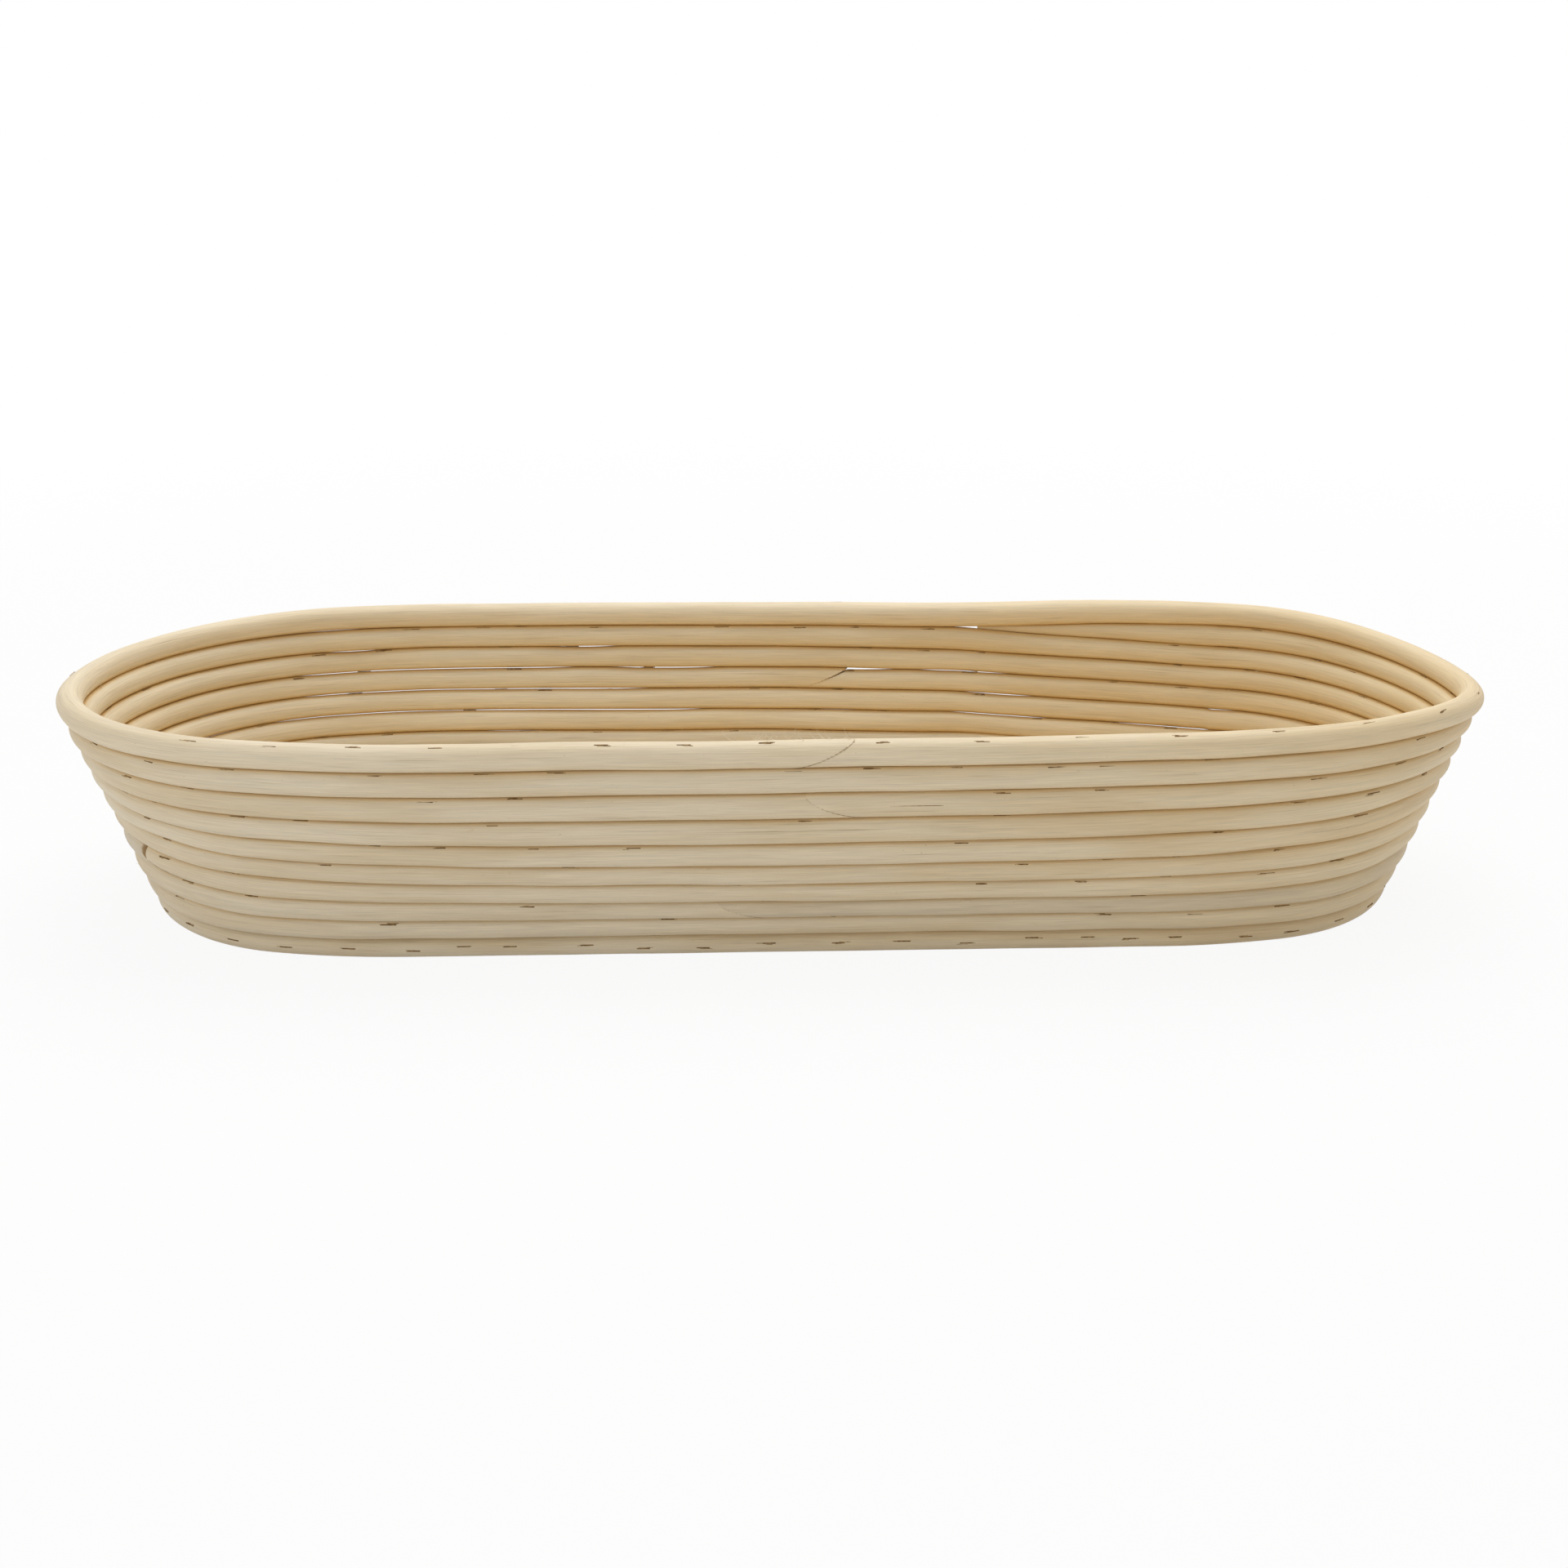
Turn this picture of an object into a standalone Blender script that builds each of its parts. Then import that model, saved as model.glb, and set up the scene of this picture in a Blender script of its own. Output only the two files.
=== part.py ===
"""Oblong proofing basket wound from round cane.

One spiral of cane starts around a straight core, lies flat as the base, climbs as the wall and
tapers out under a closed rim ring. It is made of spliced lengths, and staples hold the rim down.
"""
import math

import bmesh
import bpy
from mathutils import Matrix, Vector

# Driving dimensions in metres, angles in degrees, counts as whole numbers.
CANE = 0.0073                # thickness of the cane in the base and the wall
RIM_CANE = 0.0076            # thickness of the rim's cane
SEAM_GAP = 0.0003            # clearance between neighbouring turns and at every joint
SIDE_STRAIGHT = 0.224        # straight stretch of each long side
SHOULDER_SWEEP = 12.0        # how far a side turns in before the round end starts
INNER_BEND = 0.0010          # inside radius of the tightest bend, around the core's nose
BASE_TURNS = 8               # turns of cane that lie flat around the core
WALL_COURSES = 9             # courses above the base's outer turn, the rim included
SIDE_FOOT_LEAN = 29.2        # lean of the long walls from upright at the base
SIDE_LIP_LEAN = 1.9          # lean of the long walls from upright at the rim
END_FOOT_LEAN = 19.2         # lean of the round ends from upright at the base
END_LIP_LEAN = 21.7          # lean of the round ends from upright at the rim
CLIMB_OFFSET = 0.100         # length, along the rim, from the middle of the right end to the climb
CLIMB_LENGTH = 0.087         # length, along the rim, in which a turn climbs onto the next
SCARF_LENGTH = 0.015         # length of the slanted face where two canes are spliced
SCARF_TIP = 0.0006           # thickness left at the tip of a slanted end
SLEEVE_ROOM = 0.00002        # how far the cutter of a slanted end stands off the cane
TAPER_TIP = 0.0012           # thickness left where the spiral tapers out
NOSE_REACH = 0.7             # share of the first turn's shoulder that the core's nose runs along
LEFT_STAPLES = 27            # staples from the spiral's end round the left end to the rim's splice
RIGHT_STAPLES = 14           # staples from the rim's splice round the right end to the spiral's end
STAPLE_CROWN = 0.0046        # outside width of a staple
STAPLE_WIRE = 0.0008         # side of the staple's square wire
STAPLE_SINK = 0.0004         # depth of the crown below the rim's surface
STAPLE_BITE = 0.0045         # how far the legs reach into the course under the rim

# Splices of the spiral: the course, counted up from the base's outer turn or down from the rim, the
# stretch of that turn, and the share of the stretch that comes before the splice.
SPLICES = [
    ("base", "up", -4, "front", 0.68),
    ("foot", "up", 0, "back", 0.77),
    ("front_low", "up", 2, "front", 0.445),
    ("left_low", "up", 3, "left", 0.81),
    ("back_high", "down", 3, "back", 0.41),
    ("front_high", "down", 2, "front", 0.56),
]
RIM_SPLICE_SHARE = 0.545     # share of the front side that comes before the rim's splice

# Fineness of the solids.
CANE_SIDES = 8
BEND_STEP = 11.5
CLIMB_STEPS = 6
LEAN_STEPS = 20
NOSE_STEPS = 2
STATION_ROOM = 0.001

# Sizes that follow from the driving dimensions.
PITCH = CANE + SEAM_GAP
RIM_PITCH = (CANE + RIM_CANE) / 2 + SEAM_GAP
TIP_RADIUS = CANE / 2 + INNER_BEND
TIP_SWEEP = 90.0 - SHOULDER_SWEEP
TIP_RISE = math.sin(math.radians(TIP_SWEEP))
SHOULDER_RADIUS = (PITCH - TIP_RADIUS * TIP_RISE) / (1.0 - TIP_RISE)
SHOULDER_Y = PITCH - SHOULDER_RADIUS
SIDE_X = SIDE_STRAIGHT / 2
TIP_X = SIDE_X + (SHOULDER_RADIUS - TIP_RADIUS) * math.cos(math.radians(TIP_SWEEP))
FLAT_TURN = 180.0 / CANE_SIDES
CORNER = 1.0 / math.cos(math.radians(FLAT_TURN))
FOOT_PITCH = CANE / 2 + CANE / 2 * CORNER + SEAM_GAP
CORE_LEVEL = -BASE_TURNS
RIM_LEVEL = WALL_COURSES
FLOOR_HEIGHT = CANE / 2

CANE_COLOUR = (0.60, 0.48, 0.29, 1.0)
BASE_COLOUR = (0.55, 0.43, 0.25, 1.0)
RIM_COLOUR = (0.66, 0.55, 0.36, 1.0)
STEEL_COLOUR = (0.33, 0.24, 0.13, 1.0)


def clear_scene():
    for item in list(bpy.data.objects):
        bpy.data.objects.remove(item)


def new_collection(name):
    collection = bpy.data.collections.new(name)
    bpy.context.scene.collection.children.link(collection)
    return collection


def new_material(name, colour, roughness, metallic):
    material = bpy.data.materials.new(name)
    material.use_nodes = True
    shader = material.node_tree.nodes["Principled BSDF"]
    shader.inputs["Base Color"].default_value = colour
    shader.inputs["Roughness"].default_value = roughness
    shader.inputs["Metallic"].default_value = metallic
    return material


# The wall's profile. A level counts courses: 0 is the base's outer turn, RIM_LEVEL is the rim.

def lean_at(level, end_share):
    """Lean from upright, between that of the long walls and that of the round ends."""
    share = min(max(level / RIM_LEVEL, 0.0), 1.0)
    side = SIDE_FOOT_LEAN + (SIDE_LIP_LEAN - SIDE_FOOT_LEAN) * share
    end = END_FOOT_LEAN + (END_LIP_LEAN - END_FOOT_LEAN) * share
    return math.radians(side + (end - side) * end_share)


def pitch_at(level):
    """Distance between the centres of the courses below and above a level."""
    if level < 1.0:
        return FOOT_PITCH
    return RIM_PITCH if level > RIM_LEVEL - 1 else PITCH


def profile(level, end_share):
    """Distance outwards from the first turn's line, and height, of a course's centre."""
    outwards = min(level, 0.0) * PITCH + (BASE_TURNS - 1) * PITCH
    height = FLOOR_HEIGHT
    done = 0.0
    while done < level:
        step = min(1.0 / LEAN_STEPS, level - done)
        lean = lean_at(done + step / 2, end_share)
        pitch = pitch_at(done + step / 2)
        outwards += step * pitch * math.sin(lean)
        height += step * pitch * math.cos(lean)
        done += step
    return outwards, height


def facing(level, end_share):
    """Turn of the cane's section that sets a flat side towards the neighbouring courses."""
    base_facing = math.radians(2 * FLAT_TURN)
    share = min(max(level, 0.0), 1.0)
    wall_facing = lean_at(level, end_share)
    return base_facing + (wall_facing - base_facing) * share + math.radians(FLAT_TURN)


RIM_REACH = profile(RIM_LEVEL, 0.0)[0]


# The plan. A turn is a chain of stretches from the middle of the right end. Each has the centre of
# its bend, which moves along a straight side, its radius at the first base turn and the direction
# that it faces. Travel is the length along the rim from the place where the turns start to climb.

def make_stretches():
    left_tip = 180.0 - TIP_SWEEP
    right = (TIP_X, 0.0)
    right_back = (SIDE_X, SHOULDER_Y)
    left_back = (-SIDE_X, SHOULDER_Y)
    left = (-TIP_X, 0.0)
    left_front = (-SIDE_X, -SHOULDER_Y)
    right_front = (SIDE_X, -SHOULDER_Y)
    chain = [
        ("right_first", right, right, TIP_RADIUS, 0.0, TIP_SWEEP),
        ("right_back", right_back, right_back, SHOULDER_RADIUS, TIP_SWEEP, 90.0),
        ("back", right_back, left_back, SHOULDER_RADIUS, 90.0, 90.0),
        ("left_back", left_back, left_back, SHOULDER_RADIUS, 90.0, left_tip),
        ("left", left, left, TIP_RADIUS, left_tip, 360.0 - left_tip),
        ("left_front", left_front, left_front, SHOULDER_RADIUS, 360.0 - left_tip, 270.0),
        ("front", left_front, right_front, SHOULDER_RADIUS, 270.0, 270.0),
        ("right_front", right_front, right_front, SHOULDER_RADIUS, 270.0, 360.0 - TIP_SWEEP),
        ("right_last", right, right, TIP_RADIUS, 360.0 - TIP_SWEEP, 360.0),
    ]
    stretches = []
    reached = 0.0
    for name, first, last, radius, turn_from, turn_to in chain:
        sweep = math.radians(turn_to - turn_from)
        length = abs(last[0] - first[0]) + sweep * (radius + RIM_REACH)
        stretches.append((name, reached, length, first, last, radius, turn_from, turn_to))
        reached += length
    return stretches, reached


STRETCHES, LOOP = make_stretches()


def plan_at(travel):
    """Centre, radius and direction of the bend at a length along the rim from the climb's start."""
    reached = (travel + CLIMB_OFFSET) % LOOP
    for name, start, length, first, last, radius, turn_from, turn_to in STRETCHES:
        if reached <= start + length:
            break
    share = min((reached - start) / length, 1.0)
    centre = Vector(first).lerp(Vector(last), share)
    return centre, radius, math.radians(turn_from + (turn_to - turn_from) * share)


def end_share_at(travel):
    """Nought on the long sides, one at the middle of the round ends."""
    return math.cos(plan_at(travel)[2]) ** 2


def travel_on(name, share):
    for stretch in STRETCHES:
        if stretch[0] == name:
            return (stretch[1] + stretch[2] * share - CLIMB_OFFSET) % LOOP


RIM_SPLICE = travel_on("front", RIM_SPLICE_SHARE)


def make_stations():
    """Lengths along the rim where every turn has a point, so that turns stay side by side."""
    spots = [CLIMB_LENGTH * step / CLIMB_STEPS for step in range(CLIMB_STEPS + 1)]
    for name, start, length, first, last, radius, turn_from, turn_to in STRETCHES:
        parts = max(1, math.ceil((turn_to - turn_from) / BEND_STEP))
        for part in range(parts):
            travel = (start + length * part / parts - CLIMB_OFFSET) % LOOP
            if part == 0 or travel > CLIMB_LENGTH:
                spots.append(travel)
    stations = [0.0]
    for travel in sorted(spots):
        if stations[-1] + STATION_ROOM < travel < LOOP - STATION_ROOM:
            stations.append(travel)
    return stations


STATIONS = make_stations()


def place(level, travel):
    """Centre of a course, its direction of winding, and the way to the next course."""
    centre, radius, angle = plan_at(travel)
    end_share = end_share_at(travel)
    outwards, height = profile(level, end_share)
    normal = Vector((math.cos(angle), math.sin(angle), 0.0))
    along = Vector((-math.sin(angle), math.cos(angle), 0.0))
    point = Vector((centre.x, centre.y, height)) + normal * (radius + outwards)
    lean = lean_at(level, end_share) if level > 0.0 else math.pi / 2
    upwards = normal * math.sin(lean) + Vector((0.0, 0.0, math.cos(lean)))
    return point, along, upwards


# The spiral. Turn number n ends its climb at level n, one course above the turn before it.

def base_climb(travel):
    share = min(max(travel / CLIMB_LENGTH, 0.0), 1.0)
    return share * share * (3.0 - 2.0 * share)


def wall_climb(travel):
    """Climb of a wall turn, which stays one pitch from the base turn that comes out below it."""
    behind = 1.0 - base_climb(travel)
    lean = lean_at(0.0, end_share_at(travel))
    corner_room = 4.0 * behind * (1.0 - behind) * (CORNER - 1.0) * CANE / PITCH
    apart = 1.0 + corner_room
    return math.sqrt(apart ** 2 - (behind * math.cos(lean)) ** 2) - behind * math.sin(lean)


def spiral_level(turn, travel):
    climb = base_climb(travel) if turn <= 0 else wall_climb(travel)
    return turn - 1 + climb


def section(turn, travel):
    """Level and thickness share of the spiral, with its tapered start and end."""
    if turn == CORE_LEVEL + 1 and travel < CLIMB_LENGTH:
        thickness = base_climb(travel) * PITCH - SEAM_GAP
        return CORE_LEVEL + (CANE / 2 + SEAM_GAP + thickness / 2) / PITCH, thickness / CANE
    if turn == RIM_LEVEL:
        thickness = (1.0 - wall_climb(travel)) * PITCH - SEAM_GAP
        return RIM_LEVEL - (RIM_CANE / 2 + SEAM_GAP + thickness / 2) / RIM_PITCH, thickness / CANE
    return spiral_level(turn, travel), 1.0


def taper_travel(turn):
    """Length along the climb where the spiral's tapered end is down to its tip."""
    low, high = 0.0, CLIMB_LENGTH
    for halving in range(40):
        middle = (low + high) / 2
        thick = section(turn, middle)[1] * CANE > TAPER_TIP
        if thick == (turn == RIM_LEVEL):
            low = middle
        else:
            high = middle
    return (low + high) / 2


def spiral_points(start, end):
    """Points, section turns and thickness shares of the spiral between two (turn, travel) spots."""
    spots = [start]
    for turn in range(start[0], end[0] + 1):
        for travel in STATIONS:
            after_start = turn > start[0] or travel > start[1] + SEAM_GAP
            before_end = turn < end[0] or travel < end[1] - SEAM_GAP
            if after_start and before_end:
                spots.append((turn, travel))
    spots.append(end)
    points = []
    for turn, travel in spots:
        level, share = section(turn, travel)
        points.append((place(level, travel)[0], facing(level, end_share_at(travel)), share))
    return points


# Solids.

def cane_curve(name, points, thickness, closed=False):
    curve = bpy.data.curves.new(name, "CURVE")
    curve.dimensions = "3D"
    curve.twist_mode = "Z_UP"
    curve.bevel_depth = thickness / 2 * CORNER
    curve.bevel_resolution = (CANE_SIDES - 4) // 2
    curve.use_fill_caps = True
    spline = curve.splines.new("POLY")
    spline.use_cyclic_u = closed
    spline.points.add(len(points) - 1)
    for target, (point, tilt, share) in zip(spline.points, points):
        target.co = (*point, 1.0)
        target.tilt = tilt
        target.radius = share
    return bpy.data.objects.new(name, curve)


def as_mesh(curve_object, collection, material):
    """Mesh object with welded caps in place of a curve object."""
    scene_collection = bpy.context.scene.collection
    scene_collection.objects.link(curve_object)
    depsgraph = bpy.context.evaluated_depsgraph_get()
    mesh = bpy.data.meshes.new_from_object(curve_object.evaluated_get(depsgraph))
    name = curve_object.name
    matrix = curve_object.matrix_world.copy()
    bpy.data.objects.remove(curve_object)
    work = bmesh.new()
    work.from_mesh(mesh)
    bmesh.ops.remove_doubles(work, verts=work.verts, dist=1e-6)
    bmesh.ops.recalc_face_normals(work, faces=work.faces)
    work.to_mesh(mesh)
    work.free()
    mesh.name = name
    mesh.materials.clear()
    if material:
        mesh.materials.append(material)
    solid = bpy.data.objects.new(name, mesh)
    solid.matrix_world = matrix
    collection.objects.link(solid)
    return solid


def smooth(solid):
    solid.data.shade_smooth()
    solid.data.set_sharp_from_angle(angle=math.radians(60.0))


def hide_cutter(cutter):
    cutter.hide_render = True
    cutter.display_type = "WIRE"


def box_cutter(name, collection, size, matrix):
    mesh = bpy.data.meshes.new(name)
    work = bmesh.new()
    bmesh.ops.create_cube(work, size=1.0, matrix=Matrix.Diagonal((*size, 1.0)))
    work.to_mesh(mesh)
    work.free()
    cutter = bpy.data.objects.new(name, mesh)
    cutter.matrix_world = matrix
    collection.objects.link(cutter)
    hide_cutter(cutter)
    return cutter


def cut(solid, cutter):
    boolean = solid.modifiers.new(cutter.name, "BOOLEAN")
    boolean.operation = "DIFFERENCE"
    boolean.solver = "EXACT"
    boolean.object = cutter


def cut_by_group(solid, group):
    boolean = solid.modifiers.new(group.name, "BOOLEAN")
    boolean.operation = "DIFFERENCE"
    boolean.solver = "EXACT"
    boolean.operand_type = "COLLECTION"
    boolean.collection = group


# Splices.

def scarf_frame(level, travel, fall, thickness):
    """Frame of a splice's slanted face: X along its slope, Z away from the face, upwards."""
    point, along, upwards = place(level, travel)
    slope = (along * SCARF_LENGTH + upwards * (-fall * thickness)).normalized()
    across = upwards.cross(along).normalized()
    away = slope.cross(across).normalized()
    frame = Matrix((slope, across, away)).transposed().to_4x4()
    frame.translation = point
    return frame


def sleeve_cutter(name, collection, spot, plane, side):
    """Sleeve close around one turn at a splice, kept on one side of the slanted face."""
    points = spiral_points(shift(spot, -SCARF_LENGTH), shift(spot, SCARF_LENGTH))
    sleeve = as_mesh(cane_curve(name, points, CANE + 2 * SLEEVE_ROOM), collection, None)
    away = plane.col[2].to_3d() * side
    face = plane.translation - away * SEAM_GAP / 2
    work = bmesh.new()
    work.from_mesh(sleeve.data)
    everything = work.verts[:] + work.edges[:] + work.faces[:]
    bmesh.ops.bisect_plane(work, geom=everything, plane_co=face, plane_no=away, clear_inner=True)
    rim_edges = [edge for edge in work.edges if edge.is_boundary]
    bmesh.ops.contextual_create(work, geom=rim_edges)
    bmesh.ops.recalc_face_normals(work, faces=work.faces)
    work.to_mesh(sleeve.data)
    work.free()
    hide_cutter(sleeve)
    return sleeve


def splice(joint, cutters, lower, upper):
    """Slanted joint: the cane that ends lies under the cane that starts."""
    name, spot = joint
    plane = scarf_frame(spiral_level(*spot), spot[1], 1.0, CANE)
    cut(lower, sleeve_cutter("splice_above_" + name, cutters, spot, plane, 1.0))
    cut(upper, sleeve_cutter("splice_below_" + name, cutters, spot, plane, -1.0))


def splice_reach():
    """How far past a splice's middle each cane runs before its slanted end is blunt."""
    return SCARF_LENGTH * (0.5 - (SCARF_TIP + SEAM_GAP) / CANE)


def shift(spot, distance):
    """Spot moved along the winding, on a stretch where the rim and the turn run side by side."""
    turn, travel = spot
    level = spiral_level(turn, travel)
    radius = plan_at(travel)[1]
    sweep = plan_at(travel + SEAM_GAP)[2] - plan_at(travel - SEAM_GAP)[2]
    if abs(sweep) > 1e-9:
        reach = profile(level, end_share_at(travel))[0]
        distance *= (radius + RIM_REACH) / (radius + reach)
    return turn, travel + distance


# Pieces.

def make_core(collection, material):
    """Straight cane whose pared noses follow the inside of the first turn's shoulders."""
    outline = [(-SIDE_X, 1.0), (SIDE_X, 1.0)]
    inside = SHOULDER_RADIUS - CANE / 2 * CORNER
    for step in range(1, NOSE_STEPS + 1):
        turned = math.radians(NOSE_REACH * SHOULDER_SWEEP * step / NOSE_STEPS)
        x = SIDE_X + inside * math.sin(turned)
        room = SHOULDER_Y + inside * math.cos(turned) - SEAM_GAP
        share = min(1.0, room / (CANE / 2 * CORNER))
        outline = [(-x, share)] + outline + [(x, share)]
    turned = facing(CORE_LEVEL, 0.0)
    points = [(Vector((x, 0.0, FLOOR_HEIGHT)), turned, share) for x, share in outline]
    core = as_mesh(cane_curve("base_core", points, CANE), collection, material)
    smooth(core)
    return core


def make_spiral(collection, cutters, base_material, wall_material):
    """The spiral's lengths of cane, from the core outwards and upwards, spliced end to end."""
    joints = []
    for name, way, courses, stretch, share in SPLICES:
        turn = courses if way == "up" else RIM_LEVEL - courses
        joints.append((name, (turn, travel_on(stretch, share))))
    joints.sort(key=lambda joint: joint[1])
    first = (CORE_LEVEL + 1, taper_travel(CORE_LEVEL + 1))
    last = (RIM_LEVEL, taper_travel(RIM_LEVEL))
    names = ["base_cane_inner", "base_cane_outer"]
    names += ["wall_cane_%d" % number for number in range(1, len(joints))]
    reach = splice_reach()
    starts = [first] + [shift(spot, -reach) for name, spot in joints]
    ends = [shift(spot, reach) for name, spot in joints] + [last]
    canes = []
    for name, start, end in zip(names, starts, ends):
        material = base_material if name.startswith("base") else wall_material
        canes.append(as_mesh(cane_curve(name, spiral_points(start, end), CANE), collection, material))
    for joint, lower, upper in zip(joints, canes, canes[1:]):
        splice(joint, cutters, lower, upper)
    for cane in canes:
        smooth(cane)
    return canes


def make_rim(collection, cutters, material):
    points = []
    for travel in STATIONS:
        turned = facing(RIM_LEVEL, end_share_at(travel))
        points.append((place(RIM_LEVEL, travel)[0], turned, 1.0))
    rim = as_mesh(cane_curve("rim_cane", points, RIM_CANE, closed=True), collection, material)
    frame = scarf_frame(RIM_LEVEL, RIM_SPLICE, -1.0, RIM_CANE)
    size = (SCARF_LENGTH + 3 * RIM_CANE, 3 * RIM_CANE, SEAM_GAP)
    cut(rim, box_cutter("rim_scarf", cutters, size, frame))
    smooth(rim)
    return rim


def staple_mesh(name, clearance, top, leg):
    """Flat U outline in X and Z, the crown's top at Z = top, as thick as the wire."""
    half = STAPLE_CROWN / 2 + clearance
    inner = STAPLE_CROWN / 2 - STAPLE_WIRE - clearance
    under = -STAPLE_WIRE - clearance
    corners = [(-half, top), (half, top), (half, -leg), (inner, -leg)]
    corners += [(inner, under), (-inner, under), (-inner, -leg), (-half, -leg)]
    curve = bpy.data.curves.new(name, "CURVE")
    curve.dimensions = "2D"
    curve.fill_mode = "BOTH"
    curve.extrude = STAPLE_WIRE / 2 + clearance
    spline = curve.splines.new("POLY")
    spline.use_cyclic_u = True
    spline.points.add(len(corners) - 1)
    for target, (x, z) in zip(spline.points, corners):
        target.co = (x, z, 0.0, 1.0)
    outline = bpy.data.objects.new(name, curve)
    flat = as_mesh(outline, bpy.context.scene.collection, None)
    mesh = flat.data
    mesh.transform(Matrix.Rotation(math.pi / 2, 4, "X"))
    bpy.data.objects.remove(flat)
    return mesh


def staple_spots():
    """Lengths along the rim of its staples, clear of the rim's splice and the spiral's thin end."""
    splice_room = SCARF_LENGTH / 2 + 2 * STAPLE_CROWN
    thin_from = LOOP + CLIMB_LENGTH / 2 - STAPLE_CROWN
    thin_to = taper_travel(RIM_LEVEL) + STAPLE_CROWN
    runs = [
        (thin_to, RIM_SPLICE - splice_room, LEFT_STAPLES),
        (RIM_SPLICE + splice_room, thin_from, RIGHT_STAPLES),
    ]
    spots = []
    for first, last, count in runs:
        for number in range(count):
            spots.append(first + (last - first) * number / (count - 1))
    return spots


def make_staples(collection, slots, material):
    leg = RIM_CANE + SEAM_GAP + STAPLE_BITE - STAPLE_SINK
    wire = staple_mesh("staple_wire", 0.0, 0.0, leg)
    wire.materials.append(material)
    slot = staple_mesh("staple_slot", SEAM_GAP, RIM_CANE / 2, leg + SEAM_GAP)
    for number, travel in enumerate(staple_spots(), start=1):
        point, along, upwards = place(RIM_LEVEL, travel)
        across = upwards.cross(along)
        frame = Matrix((along, across, upwards)).transposed().to_4x4()
        frame.translation = point + upwards * (RIM_CANE / 2 - STAPLE_SINK)
        staple = bpy.data.objects.new("rim_staple_%02d" % number, wire)
        staple.matrix_world = frame
        collection.objects.link(staple)
        cutter = bpy.data.objects.new("staple_slot_%02d" % number, slot)
        cutter.matrix_world = frame
        slots.objects.link(cutter)
        hide_cutter(cutter)


def main():
    clear_scene()
    basket = new_collection("proofing_basket")
    cutters = new_collection("splice_cutters")
    slots = new_collection("staple_slots")
    base_material = new_material("base_cane", BASE_COLOUR, 0.62, 0.0)
    wall_material = new_material("wall_cane", CANE_COLOUR, 0.58, 0.0)
    rim_material = new_material("rim_cane", RIM_COLOUR, 0.52, 0.0)
    steel = new_material("staple_steel", STEEL_COLOUR, 0.45, 1.0)
    make_core(basket, base_material)
    canes = make_spiral(basket, cutters, base_material, wall_material)
    rim = make_rim(basket, cutters, rim_material)
    make_staples(basket, slots, steel)
    for solid in canes[-2:] + [rim]:
        cut_by_group(solid, slots)


main()
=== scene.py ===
import math

import bpy
import numpy as np
from mathutils import Matrix, Vector


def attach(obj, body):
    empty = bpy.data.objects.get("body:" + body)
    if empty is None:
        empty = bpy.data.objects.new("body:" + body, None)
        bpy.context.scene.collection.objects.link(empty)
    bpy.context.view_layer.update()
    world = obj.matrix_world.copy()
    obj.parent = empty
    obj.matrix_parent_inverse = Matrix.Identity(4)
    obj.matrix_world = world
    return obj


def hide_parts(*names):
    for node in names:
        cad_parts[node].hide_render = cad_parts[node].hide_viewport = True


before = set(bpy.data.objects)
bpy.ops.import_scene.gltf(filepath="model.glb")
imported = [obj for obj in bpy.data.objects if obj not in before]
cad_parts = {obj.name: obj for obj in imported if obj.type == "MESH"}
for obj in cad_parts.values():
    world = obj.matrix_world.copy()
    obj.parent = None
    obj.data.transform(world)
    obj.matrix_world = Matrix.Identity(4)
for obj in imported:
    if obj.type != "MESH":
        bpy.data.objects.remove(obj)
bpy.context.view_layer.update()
print("frame loaded:", len(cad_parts), "nodes")

scene = bpy.context.scene
scene.view_settings.view_transform = "Standard"


# the basket's plan and profile, in metres and degrees, as in the solids
basket = {
    "cane": 0.0073, "rimCane": 0.0076, "seamGap": 0.0003,
    "sideStraight": 0.224, "shoulderSweep": 12.0, "innerBend": 0.0010,
    "baseTurns": 8, "courses": 9,
    "sideFootLean": 29.2, "sideLipLean": 1.9, "endFootLean": 19.2, "endLipLean": 21.7,
    "climbOffset": 0.100, "climbLength": 0.087, "taperTip": 0.0012,
    "rimSpliceShare": 0.545, "scarf": 0.015,
}

pitch = basket["cane"] + basket["seamGap"]
rimPitch = (basket["cane"] + basket["rimCane"]) / 2 + basket["seamGap"]
footPitch = pitch + basket["cane"] / 2 * (1.0 / math.cos(math.pi / 8) - 1.0)
caneHalf = pitch / 2                       # neighbouring courses touch
rimHalf = rimPitch - caneHalf
rimLevel = basket["courses"]
coreLevel = -basket["baseTurns"]
floorHeight = basket["cane"] / 2
tipRadius = basket["cane"] / 2 + basket["innerBend"]
tipSweep = 90.0 - basket["shoulderSweep"]
tipRise = math.sin(math.radians(tipSweep))
shoulderRadius = (pitch - tipRadius * tipRise) / (1.0 - tipRise)
shoulderY = pitch - shoulderRadius
sideX = basket["sideStraight"] / 2
tipX = sideX + (shoulderRadius - tipRadius) * math.cos(math.radians(tipSweep))


def smoothStep(share):
    share = min(max(share, 0.0), 1.0)
    return share * share * (3.0 - 2.0 * share)


def leansAt(endShare):
    side, lip = basket["sideFootLean"], basket["sideLipLean"]
    foot = side + (basket["endFootLean"] - side) * endShare
    top = lip + (basket["endLipLean"] - lip) * endShare
    return math.radians(foot), math.radians(top)


def leanAt(level, endShare):
    foot, top = leansAt(endShare)
    return foot + (top - foot) * min(max(level / rimLevel, 0.0), 1.0)


def wallReach(level, endShare):            # outwards and upwards from the base's outer turn
    foot, top = leansAt(endShare)
    bend = (top - foot) / rimLevel
    lean = foot + bend * level
    return (pitch * (math.cos(foot) - math.cos(lean)) / bend,
            pitch * (math.sin(lean) - math.sin(foot)) / bend)


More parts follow.
